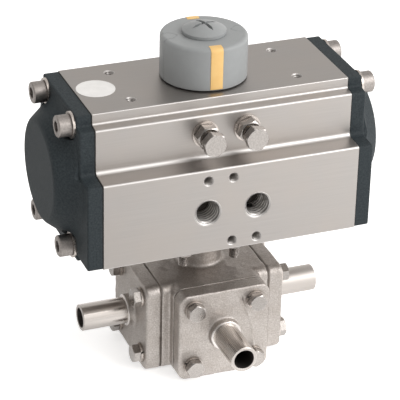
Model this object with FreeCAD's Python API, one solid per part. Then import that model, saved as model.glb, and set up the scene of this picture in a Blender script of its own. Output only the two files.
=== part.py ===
import FreeCAD, Part
import math
import os
from FreeCAD import Vector

# Pneumatic three-way ball valve, in millimetres, +Z up.
# The origin is the middle of the valve's base face, under the stem. +X runs along the actuator and
# the air ports face -Y. At rest the pistons are together and the ball joins the left and front tubes.

# Valve body and plates
plate_side = 45.0
plate_corner = 4.5
plate_edge_round = 0.8
plate_thickness = 7.2
gasket_thickness = 0.4
gasket_inset = 0.5
body_reach = 26.7
chamber_gap = 0.7
spigot_clearance = 0.2
boss_wall = 1.3
boss_height = 3.6
boss_edge = 0.5

# Tube ends
tube_radius = 6.35
tube_wall = 1.65
tube_length = 21.6
tube_seat_depth = 6.0
tube_seat_radius = 5.6
tube_edge = 0.25

# Ball, seats and stem
ball_radius = 10.5
seat_gap = 0.03
seat_backing = 3.8
seat_depth = 6.5
seat_clearance = 0.3
running_gap = 0.05
slot_width = 4.1
slot_depth = 3.5
tang_width = 11.0
tang_gap = 0.1
stem_radius = 6.0
stem_flange_lip = 1.9
stem_flange_thickness = 3.0
stem_flange_rise = 1.2
thrust_thickness = 1.0
shoulder_thickness = 2.5
packing_wall = 2.25
packing_ring_height = 2.0
packing_rings = 3
stem_square = 9.0
square_engagement = 10.5

# Neck and mounting pad
neck_wall = 2.5
neck_fillet = 1.2
neck_rise = 22.5
pad_side = 38.0
pad_corner = 6.0
pad_thickness = 6.5
recess_gap = 1.2
recess_margin = 0.35
gland_proud = 0.2
disc_spring_lip = 3.5
disc_spring_thickness = 0.75
disc_spring_count = 2
stem_nut_flats = 17.0
stem_nut_height = 4.0
stud_circle = 36.0
stud_length = 26.9
stud_depth = 9.0

# Actuator housing
housing_length = 122.3
housing_height = 72.6
cylinder_radius = 26.0
pad_width = 49.0
flank_width = 58.8
shoulder_drop = 5.0
shoulder_slope = 1.0
port_face_offset = 40.3
port_block_drop = 27.0
port_block_slope = 0.7
port_block_lift = 2.9
outline_round = 1.1
ledge_fillet = 2.2
pad_round = 0.5

# Air ports and threaded holes of the housing
port_spacing = 24.0
port_drop = 12.8
port_radius = 5.72
port_depth = 12.0
port_mouth = 0.9
air_way_radius = 2.0
gallery_below_port = 9.4
port_way_radius = 4.4
gallery_inset = 10.6
side_hole_radius = 2.1
side_hole_depth = 8.0
side_hole_mouth = 0.4
tap_mouth = 0.3
side_hole_rise = 16.0
top_hole_spacing_x = 80.0
top_hole_spacing_y = 30.0

# End caps
cap_gasket_thickness = 0.5
cap_inset = 0.35
cap_flange_thickness = 6.95
cap_dome_height = 9.9
cap_dome_foot = 31.5
cap_dome_top = 23.6
cap_foot_round = 7.0
cap_top_round = 4.0
cap_edge_round = 0.9
cap_wall = 3.6
cap_hollow_radius = 24.0
cap_hollow_depth = 8.0
cap_screw_edge_y = 6.1
cap_screw_edge_z = 6.4
spot_face_radius = 6.9

# Rack and pinion
module = 1.5
pinion_teeth = 14
pressure_angle = 20.0
rack_addendum = 1.2
root_clearance = 0.3
backlash = 0.2
gear_width = 20.0
rack_teeth_past = 5
rack_teeth_before = 2
rack_back_gap = 1.4
rack_tip_trim = 0.4
piston_gap = 1.0
piston_side_gap = 0.15
piston_edge = 0.8
piston_thickness = 13.5
band_width = 5.0
band_depth = 1.0
seal_width = 3.4
seal_depth = 3.0
land_width = 1.5
piston_core_radius = 16.0
piston_core_depth = 6.0
shoe_length = 14.0
shoe_height = 13.0
shoe_inset = 1.0
shoe_offset = 4.0

# Pinion shaft
foot_step = 1.0
foot_gap = 0.3
foot_height = 10.0
foot_land = 1.3
foot_seal_depth = 2.0
foot_seal_height = 2.6
foot_band_depth = 1.4
foot_band_height = 3.0
lower_shaft_radius = 9.5
neck_shaft_radius = 7.5
journal_radius = 6.0
journal_seal_depth = 1.2
journal_seal_height = 2.4
seal_side_gap = 0.1
bush_wall = 2.0
bush_length = 6.8
bush_drop = 0.4
shaft_chamfer = 0.6
indicator_thread_depth = 12.0
socket_clearance = 0.1
socket_depth = 12.2
stub_height = 16.9
stub_flats = 9.0
stub_flats_rise = 2.4

# Stop cam and stop screws
cam_thickness = 7.0
cam_radius = 13.4
cam_hub_radius = 8.0
cam_seat_step = 0.7
cam_stop_offset = 4.0
cam_pocket_gap = 0.6
stop_screw_spacing = 20.0
stop_screw_drop = 14.8
stop_screw_length = 34.85
stop_tip_radius = 2.2
stop_tip_length = 1.5
stop_washer_radius = 6.25
stop_washer_thickness = 1.1

# Indicator
indicator_radius = 20.0
indicator_turn = -3.5
indicator_height = 19.9
indicator_round = 1.8
indicator_wall = 2.7
indicator_hub_radius = 9.5
indicator_hub_lift = 2.1
base_ring_radius = 19.0
base_ring_bore = 14.0
base_ring_thickness = 0.7
float_gap = 0.1
mark_width = 6.3
mark_thickness = 1.2
mark_return = 4.4
mark_proud = 0.08
mark_lift = 0.4
mark_gap = 0.2
arrow_point = 3.0
disc_radius = 10.1
disc_side = 1.6
disc_dome = 3.0
cross_arm = 6.7
cross_width = 1.6
cross_depth = 2.2
cross_turn = 15.0
cross_taper = 0.7
disc_edge = 0.2
indicator_screw_depth = 10.0
stub_gap = 0.2
screw_way_gap = 0.1
washer_radius = 11.5
washer_thickness = 1.0
ring_radius = 8.2
ring_groove_depth = 0.7
ring_thickness = 1.1
ring_opening = 3.0

# Standard screws: thread radius, width across flats, head height
thread_gap = 0.05
hole_gap = 0.25
m5_radius = 2.5
m5_flats = 8.0
m5_head = 3.5
m5_nut = 3.9
m5_spring_radius = 4.6
m5_spring_thickness = 1.3
flange_bolt_length = 16.0
flange_hole_run = 1.1
flange_bolt_spacing = 30.4
m6_radius = 3.0
m6_flats = 10.0
m6_head = 4.0
m6_nut = 5.0
m6_socket_head_radius = 5.0
m6_socket_head = 6.1
m6_socket_flats = 5.0
m6_socket_depth = 3.0
m6_washer_radius = 6.1
m6_washer_thickness = 1.1
cap_screw_length = 20.0
cap_hole_run = 3.5
head_chamfer = 0.5
face_share = 0.95
face_slope = 30.0

# Heights and places worked out from the sizes above
valve_z = plate_side / 2
body_top = plate_side
housing_bottom = body_top + neck_rise
axis_z = housing_bottom + housing_height / 2
housing_top = housing_bottom + housing_height
pad_bottom = housing_bottom - pad_thickness
plate_inner = body_reach + gasket_thickness
plate_outer = plate_inner + plate_thickness
boss_outer = plate_outer + boss_height
tube_reach = boss_outer + tube_length
tube_bore = tube_radius - tube_wall
boss_radius = tube_radius + boss_wall
chamber_radius = ball_radius + chamber_gap
seat_back = ball_radius + seat_backing
flange_hole_depth = (flange_bolt_length - m5_spring_thickness - plate_thickness - gasket_thickness
                     + flange_hole_run)

stem_bore = stem_radius + running_gap
stem_flange_radius = stem_radius + stem_flange_lip
packing_radius = stem_radius + packing_wall
neck_radius = packing_radius + neck_wall
disc_spring_radius = stem_radius + disc_spring_lip
recess_radius = stem_nut_flats / 2 / math.cos(math.radians(30)) + recess_gap
flange_low = valve_z + ball_radius + stem_flange_rise
flange_high = flange_low + stem_flange_thickness
shoulder_low = flange_high + thrust_thickness
packing_low = shoulder_low + shoulder_thickness
gland_low = packing_low + packing_rings * packing_ring_height
nut_high = housing_bottom - recess_margin
nut_low = nut_high - stem_nut_height
springs_low = nut_low - disc_spring_count * disc_spring_thickness
gland_high = springs_low - running_gap
recess_low = gland_high - gland_proud

half_length = housing_length / 2
cap_inner = half_length + cap_gasket_thickness
cap_flange_reach = cap_inner + cap_flange_thickness
cap_dome_reach = cap_flange_reach + cap_dome_height
cap_hole_depth = (cap_screw_length - m6_washer_thickness - cap_flange_thickness - cap_gasket_thickness
                  + cap_hole_run)
gallery_drop = port_drop + gallery_below_port
gallery_offset = port_face_offset - gallery_inset

pitch_radius = module * pinion_teeth / 2
tooth_pitch = math.pi * module
gear_outer = pitch_radius + module
foot_radius = gear_outer + foot_step
foot_low = housing_bottom + foot_gap
foot_high = foot_low + foot_height
foot_seal_low = foot_low + foot_land
foot_band_low = foot_seal_low + foot_seal_height + foot_land
bush_radius = journal_radius + bush_wall
gear_low = axis_z - gear_width / 2
stop_z = housing_top - stop_screw_drop
cam_high = stop_z + m6_radius
cam_low = cam_high - cam_thickness
cam_pocket_high = cam_high + cam_pocket_gap
cam_seat_radius = journal_radius + cam_seat_step
cam_seat_half = journal_radius + running_gap
journal_seal_low = cam_pocket_high + foot_gap
ring_low = housing_top + running_gap + washer_thickness + running_gap
ring_groove_radius = journal_radius - ring_groove_depth
pinion_top = housing_top + stub_height

piston_radius = cylinder_radius - piston_side_gap
rack_back_radius = cylinder_radius - rack_back_gap
rack_reach = rack_teeth_past * tooth_pitch - rack_tip_trim
piston_face = rack_reach + piston_gap
band_low = piston_face + land_width
band_high = band_low + band_width
seal_low = band_high + land_width
seal_high = seal_low + seal_width
piston_outer = piston_face + piston_thickness
indicator_low = housing_top + float_gap + base_ring_thickness
indicator_top = indicator_low + indicator_height
side_turn = {"right": 0, "rear": 90, "left": 180, "front": 270}


# Building blocks

def sector(radius, low, high, at=(0, 0)):
    """A cylinder along Z."""
    return Part.makeCylinder(radius, high - low, Vector(at[0], at[1], low))


def ring(inner, outer, low, high, at=(0, 0)):
    """A flat ring about Z."""
    return sector(outer, low, high, at).cut(sector(inner, low, high, at))


def block(x, y, z):
    """A box from three pairs of low and high values."""
    return Part.makeBox(x[1] - x[0], y[1] - y[0], z[1] - z[0], Vector(x[0], y[0], z[0]))


def aimed(shape, at, towards):
    """The shape with its Z axis turned towards a direction and its origin moved to a point."""
    turn = FreeCAD.Rotation(Vector(0, 0, 1), Vector(*towards))
    moved = shape.copy()
    moved.Placement = FreeCAD.Placement(Vector(*at), turn).multiply(shape.Placement)
    return moved


def spun(shape, degrees):
    """The shape turned about the vertical axis."""
    moved = shape.copy()
    moved.rotate(Vector(0, 0, 0), Vector(0, 0, 1), degrees)
    return moved


def rounded_wire(corners):
    """A closed wire through corners (point, radius), each corner rounded by its own radius."""
    tangents = []
    for index, (point, radius) in enumerate(corners):
        back = (corners[index - 1][0] - point).normalize()
        ahead = (corners[(index + 1) % len(corners)][0] - point).normalize()
        if radius == 0:
            tangents.append((point, point, point))
            continue
        half = back.getAngle(ahead) / 2
        inward = (back + ahead).normalize()
        reach = radius / math.tan(half)
        middle = point + inward * (radius / math.sin(half) - radius)
        tangents.append((point + back * reach, middle, point + ahead * reach))
    edges = []
    for index, (start, middle, end) in enumerate(tangents):
        if (end - start).Length > 1e-6:
            edges.append(Part.Arc(start, middle, end).toShape())
        following = tangents[(index + 1) % len(tangents)][0]
        if (following - end).Length > 1e-6:
            edges.append(Part.LineSegment(end, following).toShape())
    return Part.Wire(edges)


def turned(profile):
    """A solid turned about Z from corners (radius, height) or (radius, height, rounding)."""
    corners = []
    for corner in profile:
        rounding = corner[2] if len(corner) > 2 else 0
        corners.append((Vector(corner[0], 0, corner[1]), rounding))
    face = Part.Face(rounded_wire(corners))
    return face.revolve(Vector(0, 0, 0), Vector(0, 0, 1), 360)


def rounded_slab(side, corner, low, high):
    """A square slab about the X axis at the valve's centre height, from x = low to high."""
    half = side / 2
    places = [(-half, -half), (half, -half), (half, half), (-half, half)]
    corners = [(Vector(low, y, valve_z + z), corner) for y, z in places]
    return Part.Face(rounded_wire(corners)).extrude(Vector(high - low, 0, 0))


def hexagon(flats, low, high, chamfered=False):
    """A hexagonal prism about Z. A chamfered one has its upper corners turned off by a flat cone."""
    corner = flats / 2 / math.cos(math.radians(30))
    points = [Vector(corner, 0, low)]
    for step in range(1, 7):
        angle = math.radians(60 * step)
        points.append(Vector(corner * math.cos(angle), corner * math.sin(angle), low))
    solid = Part.Face(Part.makePolygon(points)).extrude(Vector(0, 0, high - low))
    if not chamfered:
        return solid
    face = flats / 2 * face_share
    wide = corner + 1
    edge = high - (wide - face) * math.tan(math.radians(face_slope))
    return solid.common(turned([(0, low), (wide, low), (wide, edge), (face, high), (0, high)]))


def bore_tool(radius, depth, mouth):
    """A drill about Z that enters at z = 0 and goes down, with a cone below and a chamfered mouth."""
    tip = radius * math.tan(math.radians(31))
    return turned([(0, 1), (radius + mouth, 1), (radius + mouth, 0), (radius, -mouth),
                   (radius, -depth), (0, -depth - tip)])


def grid(spacing_x, spacing_y):
    """The four corners of a rectangle about the origin."""
    return [(x * spacing_x / 2, y * spacing_y / 2) for x in (-1, 1) for y in (-1, 1)]


def save(name, solids):
    """Write one node, made of one solid or of a group of separate solids."""
    group = solids if isinstance(solids, list) else [solids]
    shape = group[0] if len(group) == 1 else Part.makeCompound(group)
    shape.exportStep("parts/" + name + ".step")


# Valve body, plates and tube ends

def stud_places():
    offset = stud_circle / 2 / math.sqrt(2)
    return grid(2 * offset, 2 * offset)


def flange_places():
    return grid(flange_bolt_spacing, flange_bolt_spacing)


def along_x(radius, low, high, y=0.0, z=0.0):
    """A cylinder along X from x = low to high, at y and at z above the valve's centre."""
    return Part.makeCylinder(radius, high - low, Vector(low, y, valve_z + z), Vector(1, 0, 0))


def valve_body():
    lengthwise = rounded_slab(plate_side, plate_corner, -body_reach, body_reach)
    body = lengthwise.fuse(spun(lengthwise, 90)).removeSplitter()
    neck = turned([(0, body_top - 2), (neck_radius + neck_fillet, body_top - 2),
                   (neck_radius + neck_fillet, body_top), (neck_radius, body_top + neck_fillet),
                   (neck_radius, pad_bottom + 1), (0, pad_bottom + 1)])
    half = pad_side / 2
    places = [(-half, -half), (half, -half), (half, half), (-half, half)]
    outline = rounded_wire([(Vector(x, y, pad_bottom), pad_corner) for x, y in places])
    pad = Part.Face(outline).extrude(Vector(0, 0, pad_thickness))
    body = body.fuse([neck, pad])
    crossing = along_x(chamber_radius, -body_reach - 1, body_reach + 1)
    stem_way = [sector(stem_bore, valve_z, housing_bottom),
                sector(stem_flange_radius + 2 * running_gap, valve_z, shoulder_low),
                sector(packing_radius, packing_low, housing_bottom),
                sector(recess_radius, recess_low, housing_bottom + 1)]
    holes = [sector(m5_radius + hole_gap, pad_bottom - 1, housing_bottom + 1, place)
             for place in stud_places()]
    taps = []
    for side in side_turn:
        for y, z in flange_places():
            tap = along_x(m5_radius, body_reach - flange_hole_depth, body_reach + 1, y, z)
            taps.append(spun(tap, side_turn[side]))
    return body.cut([crossing, spun(crossing, 90)] + stem_way + holes + taps)


def plate(side, bored):
    """A side plate with its spigot; a bored one has a boss that takes a tube end."""
    slab = rounded_slab(plate_side, plate_corner, plate_inner, plate_outer)
    rim = [edge for edge in slab.Edges
           if all(abs(v.Point.x - plate_outer) < 1e-6 for v in edge.Vertexes)]
    solid = slab.makeFillet(plate_edge_round, rim)
    solid = solid.fuse(along_x(chamber_radius - spigot_clearance, seat_back, plate_inner + 1))
    if bored:
        boss = turned([(0, plate_outer - 1), (boss_radius, plate_outer - 1),
                       (boss_radius, boss_outer - boss_edge), (boss_radius - boss_edge, boss_outer),
                       (0, boss_outer)])
        solid = solid.fuse(aimed(boss, (0, 0, valve_z), (1, 0, 0)))
        solid = solid.cut([along_x(tube_bore, seat_back - 1, boss_outer),
                           along_x(tube_seat_radius, boss_outer - tube_seat_depth, boss_outer + 1)])
    holes = [along_x(m5_radius + hole_gap, plate_inner - 1, plate_outer + 1, y, z)
             for y, z in flange_places()]
    return spun(solid.cut(holes).removeSplitter(), side_turn[side])


def tube_end(side):
    """A turned tube end: a spigot inside the boss, and a shoulder that bears on its rim."""
    start = boss_outer - tube_seat_depth
    profile = [(tube_bore, start), (tube_seat_radius, start), (tube_seat_radius, boss_outer),
               (tube_radius, boss_outer), (tube_radius, tube_reach - tube_edge),
               (tube_radius - tube_edge, tube_reach), (tube_bore + tube_edge, tube_reach),
               (tube_bore, tube_reach - tube_edge)]
    return spun(aimed(turned(profile), (0, 0, valve_z), (1, 0, 0)), side_turn[side])


def plate_gasket(side):
    sheet = rounded_slab(plate_side - 2 * gasket_inset, plate_corner - gasket_inset, body_reach, plate_inner)
    window = along_x(chamber_radius, body_reach - 1, plate_inner + 1)
    holes = [along_x(m5_radius + hole_gap, body_reach - 1, plate_inner + 1, y, z)
             for y, z in flange_places()]
    return spun(sheet.cut([window] + holes), side_turn[side])


def hexagon_bolt(radius, flats, head, length):
    """A hexagon screw about Z: its head stands on z = 0 and its shank goes down."""
    shank = turned([(0, 0.5), (radius - thread_gap, 0.5), (radius - thread_gap, -length + head_chamfer),
                    (radius - thread_gap - head_chamfer, -length), (0, -length)])
    return hexagon(flats, 0, head, chamfered=True).fuse(shank)


def spring_washer(radius, bore, thickness):
    """A split spring washer standing on z = 0."""
    split = block((0, radius + 1), (-thickness * 0.3, thickness * 0.3), (-1, thickness + 1))
    split.rotate(Vector(0, 0, thickness / 2), Vector(1, 0, 0), 25)
    return ring(bore, radius, 0, thickness).cut(split)


def flange_fasteners():
    """The screws and spring washers of the four plates, one screw through each washer."""
    bolt = hexagon_bolt(m5_radius, m5_flats, m5_head, flange_bolt_length)
    washer = spring_washer(m5_spring_radius, m5_radius + hole_gap, m5_spring_thickness)
    bolts = []
    washers = []
    for side, degrees in side_turn.items():
        for y, z in flange_places():
            foot = (plate_outer, y, valve_z + z)
            head = (plate_outer + m5_spring_thickness, y, valve_z + z)
            washers.append(spun(aimed(spun(washer, 40 * y * z), foot, (1, 0, 0)), degrees))
            bolts.append(spun(aimed(spun(bolt, 11 * y + 7 * z), head, (1, 0, 0)), degrees))
    return bolts, washers


# Ball, seats and stem

def ball():
    """A ball whose bore leaves to the left and to the front, slotted on top for the stem."""
    sphere = Part.makeSphere(ball_radius, Vector(0, 0, valve_z))
    leg = along_x(tube_bore, -ball_radius - 1, 0)
    elbow = Part.makeSphere(tube_bore, Vector(0, 0, valve_z))
    slot_floor = valve_z + ball_radius - slot_depth
    slot = block((-ball_radius, ball_radius), (-slot_width / 2, slot_width / 2),
                 (slot_floor, valve_z + ball_radius + 1))
    return sphere.cut([leg.fuse([spun(leg, 90), elbow]), slot])


def seats():
    """Four seat rings, mitred at 45 degrees so that neighbours clear each other."""
    outer = chamber_radius - seat_clearance
    front = seat_back - seat_depth
    mitre_gap = seat_clearance * math.sqrt(2)
    profile = [(tube_bore, front), (front - mitre_gap, front), (outer, outer + mitre_gap),
               (outer, seat_back), (tube_bore, seat_back)]
    blank = aimed(turned(profile), (0, 0, valve_z), (1, 0, 0))
    seat = blank.cut(Part.makeSphere(ball_radius + seat_gap, Vector(0, 0, valve_z)))
    return [spun(seat, degrees) for degrees in side_turn.values()]


def stem():
    tang_low = valve_z + ball_radius - slot_depth + tang_gap
    tang_half = (slot_width - tang_gap) / 2
    top = housing_bottom + square_engagement
    tang = block((-tang_width / 2, tang_width / 2), (-tang_half, tang_half), (tang_low, flange_low + 1))
    flange = sector(stem_flange_radius, flange_low, flange_high - running_gap)
    shank = sector(stem_radius, flange_low, nut_high)
    half = stem_square / 2
    square = block((-half, half), (-half, half), (nut_high, top))
    square = square.common(turned([(0, nut_high), (stem_radius, nut_high), (stem_radius, top - shaft_chamfer),
                                   (stem_radius - shaft_chamfer, top), (0, top)]))
    return tang.fuse([flange, shank, square]).removeSplitter()


def stem_thrust_washer():
    return ring(stem_bore, stem_flange_radius, flange_high, shoulder_low)


def stem_packing():
    """Chevron rings, each nesting in the one below."""
    rings = []
    middle = (stem_bore + packing_radius) / 2
    dip = (packing_radius - stem_bore) / 4
    for index in range(packing_rings):
        low = packing_low + index * packing_ring_height
        high = low + packing_ring_height
        foot_dip = 0 if index == 0 else dip
        head_dip = 0 if index == packing_rings - 1 else dip
        rings.append(turned([(stem_bore, low), (middle, low + foot_dip), (packing_radius, low),
                             (packing_radius, high), (middle, high + head_dip), (stem_bore, high)]))
    return rings


def stem_gland():
    return ring(stem_bore, packing_radius - running_gap, gland_low, gland_high)


def disc_springs():
    """Two cupped spring washers, laid rim to rim."""
    springs = []
    cup = disc_spring_thickness * 0.3
    bore = stem_radius
    for index in range(disc_spring_count):
        low = springs_low + index * disc_spring_thickness
        high = low + disc_spring_thickness
        inner_lift = cup if index % 2 == 0 else 0
        outer_lift = 0 if index % 2 == 0 else cup
        springs.append(turned([(bore, low + inner_lift), (disc_spring_radius, low + outer_lift),
                               (disc_spring_radius, high - cup + outer_lift),
                               (bore, high - cup + inner_lift)]))
    return springs


def stem_nut():
    blank = hexagon(stem_nut_flats, nut_low, nut_high, chamfered=True)
    return blank.cut(sector(stem_radius, nut_low - 1, nut_high + 1))


def mounting_fasteners():
    """The four studs, their nuts and spring washers under the mounting pad."""
    studs = []
    nuts = []
    washers = []
    washer_foot = pad_bottom - m5_spring_thickness
    nut_foot = washer_foot - m5_nut
    stud_foot = housing_bottom + stud_depth - stud_length
    radius = m5_radius - thread_gap
    tip = radius - shaft_chamfer
    stud = turned([(0, 0), (tip, 0), (radius, shaft_chamfer), (radius, stud_length - shaft_chamfer),
                   (tip, stud_length), (0, stud_length)])
    nut = hexagon(m5_flats, 0, m5_nut, chamfered=True).cut(sector(m5_radius, -1, m5_nut + 1))
    washer = spring_washer(m5_spring_radius, m5_radius + hole_gap, m5_spring_thickness)
    for index, (x, y) in enumerate(stud_places()):
        studs.append(aimed(stud, (x, y, stud_foot), (0, 0, 1)))
        nuts.append(aimed(spun(nut, 20 * index), (x, y, nut_foot), (0, 0, 1)))
        washers.append(aimed(spun(washer, 70 * index), (x, y, washer_foot), (0, 0, 1)))
    return studs, nuts, washers


# Actuator housing and end caps

def housing_outline(x, inset=0.0):
    """The stepped outline of the extrusion at x, drawn in by inset on every side."""
    half_height = housing_height / 2
    pad = pad_width / 2
    flank = flank_width / 2
    shoulder = half_height - shoulder_drop
    block_top = half_height - port_block_drop
    block_low = port_block_lift - half_height
    corners = [(-pad, half_height, pad_round), (-pad, shoulder, outline_round),
               (-flank, shoulder - shoulder_slope, outline_round), (-flank, block_top, ledge_fillet),
               (-port_face_offset, block_top - port_block_slope, outline_round),
               (-port_face_offset, block_low, outline_round), (-pad, block_low, pad_round),
               (-pad, -half_height, pad_round), (pad, -half_height, pad_round),
               (pad, -shoulder, outline_round), (flank, shoulder_slope - shoulder, outline_round),
               (flank, shoulder - shoulder_slope, outline_round), (pad, shoulder, outline_round),
               (pad, half_height, pad_round)]
    wire_corners = []
    for y, z, rounding in corners:
        inner_y = y - math.copysign(inset, y)
        inner_z = z - math.copysign(inset, z)
        wire_corners.append((Vector(x, inner_y, axis_z + inner_z), rounding))
    return rounded_wire(wire_corners)


def on_axis(radius, low, high, y=0.0, z=0.0):
    """A cylinder along X at y and at z above the cylinder axis of the actuator."""
    return Part.makeCylinder(radius, high - low, Vector(low, y, axis_z + z), Vector(1, 0, 0))


def cap_screw_places():
    return grid(pad_width - 2 * cap_screw_edge_y, housing_height - 2 * cap_screw_edge_z)


def housing():
    body = Part.Face(housing_outline(-half_length)).extrude(Vector(housing_length, 0, 0))
    cuts = [on_axis(cylinder_radius, -half_length - 1, half_length + 1)]
    cuts.append(sector(foot_radius, housing_bottom - 1, axis_z))
    cuts.append(sector(bush_radius, axis_z, housing_top + 1))
    cuts.append(sector(cam_radius + cam_pocket_gap, axis_z, cam_pocket_high))
    stop_way = bore_tool(m6_radius, flank_width / 2 - cam_stop_offset, tap_mouth)
    for x in (-stop_screw_spacing / 2, stop_screw_spacing / 2):
        cuts.append(aimed(stop_way, (x, -flank_width / 2, stop_z), (0, -1, 0)))
    cap_tap = bore_tool(m6_radius, cap_hole_depth, tap_mouth)
    for y, z in cap_screw_places():
        for end in (-1, 1):
            cuts.append(aimed(cap_tap, (end * half_length, y, axis_z + z), (end, 0, 0)))
    for x in (-port_spacing / 2, port_spacing / 2):
        cuts.append(aimed(bore_tool(port_radius, port_depth, port_mouth),
                          (x, -port_face_offset, axis_z - port_drop), (0, -1, 0)))
    cuts.extend(air_ways())
    for x, rise in ((-port_spacing / 2, 1), (0, 1), (0, -1), (port_spacing / 2, -1)):
        cuts.append(aimed(bore_tool(side_hole_radius, side_hole_depth, side_hole_mouth),
                          (x, -port_face_offset, axis_z - port_drop + rise * side_hole_rise), (0, -1, 0)))
    for x, y in grid(top_hole_spacing_x, top_hole_spacing_y):
        cuts.append(aimed(bore_tool(side_hole_radius, side_hole_depth, side_hole_mouth),
                          (x, y, housing_top), (0, 0, 1)))
    for x, y in stud_places():
        cuts.append(aimed(bore_tool(m5_radius, stud_depth, tap_mouth), (x, y, housing_bottom), (0, 0, -1)))
    return body.cut(cuts)


def air_ways():
    """The left port opens between the pistons; the right one feeds a gallery to both end caps."""
    left = -port_spacing / 2
    right = port_spacing / 2
    port_z = axis_z - port_drop
    gallery_z = axis_z - gallery_drop
    inner_way = Part.makeCylinder(port_way_radius, port_face_offset, Vector(left, -port_face_offset, port_z),
                                  Vector(0, 1, 0))
    drop = sector(air_way_radius, gallery_z, port_z, (right, -gallery_offset))
    gallery = Part.makeCylinder(air_way_radius, housing_length + 2,
                                Vector(-half_length - 1, -gallery_offset, gallery_z), Vector(1, 0, 0))
    return [inner_way, drop, gallery]


def gallery_slot(low, high):
    """The channel that leads from the gallery into the cylinder, seen from the right end."""
    height = 2 * air_way_radius
    return block((low, high), (-gallery_offset - air_way_radius, -cylinder_radius / 2),
                 (axis_z - gallery_drop - height / 2, axis_z - gallery_drop + height / 2))


def cap_gasket(side):
    sheet = Part.Face(housing_outline(half_length, cap_inset)).extrude(Vector(cap_gasket_thickness, 0, 0))
    low = half_length - 1
    high = cap_inner + 1
    cuts = [on_axis(cylinder_radius, low, high)]
    cuts += [on_axis(m6_radius + hole_gap, low, high, y, z) for y, z in cap_screw_places()]
    cuts.append(gallery_slot(low, high))
    return mirrored(sheet.cut(cuts), side)


def mirrored(shape, side):
    """A piece of the right end, or its mirror image at the left end."""
    if side == "right":
        return shape
    return shape.mirror(Vector(0, 0, 0), Vector(1, 0, 0))


def end_cap(side):
    """A die-cast cap: a flange on the housing's outline with a soft-edged dome, hollow inside."""
    flange = Part.Face(housing_outline(cap_inner, cap_inset)).extrude(Vector(cap_flange_thickness, 0, 0))
    rim = [edge for edge in flange.Edges
           if all(abs(v.Point.x - cap_flange_reach) < 1e-6 for v in edge.Vertexes)]
    flange = flange.makeFillet(cap_edge_round, rim)
    wide = flank_width
    dome = turned([(0, cap_inner + 1), (wide, cap_inner + 1), (wide, cap_flange_reach),
                   (cap_dome_foot, cap_flange_reach, cap_foot_round),
                   (cap_dome_top, cap_dome_reach, cap_top_round), (0, cap_dome_reach)])
    dome = aimed(dome, (0, 0, axis_z), (1, 0, 0))
    trim = Part.Face(housing_outline(cap_inner, cap_inset + cap_edge_round)).extrude(Vector(wide, 0, 0))
    spots = [on_axis(spot_face_radius, cap_flange_reach, cap_dome_reach + 1, y, z)
             for y, z in cap_screw_places()]
    holes = [on_axis(m6_radius + hole_gap, cap_inner - 1, cap_dome_reach, y, z)
             for y, z in cap_screw_places()]
    slope = (cap_dome_foot - cap_dome_top) / cap_dome_height
    hollow_end = cap_dome_reach - cap_wall
    hollow_turn = cap_inner + cap_hollow_depth
    hollow_top = cap_hollow_radius - slope * (hollow_end - hollow_turn)
    hollow = turned([(0, cap_inner - 1), (cap_hollow_radius, cap_inner - 1), (cap_hollow_radius, hollow_turn),
                     (hollow_top, hollow_end), (0, hollow_end)])
    hollow = aimed(hollow, (0, 0, axis_z), (1, 0, 0))
    slot = gallery_slot(cap_inner - 1, cap_inner + 2 * air_way_radius)
    cap = flange.fuse(dome.common(trim)).cut(spots + holes + [hollow, slot])
    return mirrored(cap.removeSplitter(), side)


def socket_screw():
    """A socket head screw about Z: its head stands on z = 0 and its shank goes down."""
    head = turned([(0, 0), (m6_socket_head_radius, 0),
                   (m6_socket_head_radius, m6_socket_head - head_chamfer),
                   (m6_socket_head_radius - head_chamfer, m6_socket_head), (0, m6_socket_head)])
    radius = m6_radius - thread_gap
    shank = sector(radius, -cap_screw_length, 0.5)
    socket = hexagon(m6_socket_flats, m6_socket_head - m6_socket_depth, m6_socket_head + 1)
    return head.fuse(shank).cut(socket)


def cap_fasteners(side):
    end = 1 if side == "right" else -1
    washer = ring(m6_radius + hole_gap, m6_washer_radius, 0, m6_washer_thickness)
    screws = []
    washers = []
    for index, (y, z) in enumerate(cap_screw_places()):
        foot = (end * cap_flange_reach, y, axis_z + z)
        head = (end * (cap_flange_reach + m6_washer_thickness), y, axis_z + z)
        washers.append(aimed(washer, foot, (end, 0, 0)))
        screws.append(aimed(spun(socket_screw(), 23 * index), head, (end, 0, 0)))
    return screws, washers


# Pistons with racks

def rack_outline():
    """The front rack seen from above: straight-flanked teeth that point to the rear, then the back."""
    tan_angle = math.tan(math.radians(pressure_angle))
    half_pitch_tooth = (tooth_pitch / 2 - backlash) / 2
    root_y = -pitch_radius - module - root_clearance
    tip_y = -pitch_radius + rack_addendum
    half_root = half_pitch_tooth + (module + root_clearance) * tan_angle
    half_tip = half_pitch_tooth - rack_addendum * tan_angle
    points = [Vector(-rack_reach, -cylinder_radius, 0), Vector(-rack_reach, root_y, 0)]
    for index in range(-rack_teeth_past, rack_teeth_before):
        centre = (index + 0.5) * tooth_pitch
        points.append(Vector(centre - half_root, root_y, 0))
        points.append(Vector(centre - half_tip, tip_y, 0))
        points.append(Vector(centre + half_tip, tip_y, 0))
        points.append(Vector(centre + half_root, root_y, 0))
    points.append(Vector(piston_face + 1, root_y, 0))
    points.append(Vector(piston_face + 1, -cylinder_radius, 0))
    points.append(points[0])
    return Part.makePolygon(points)


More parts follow.
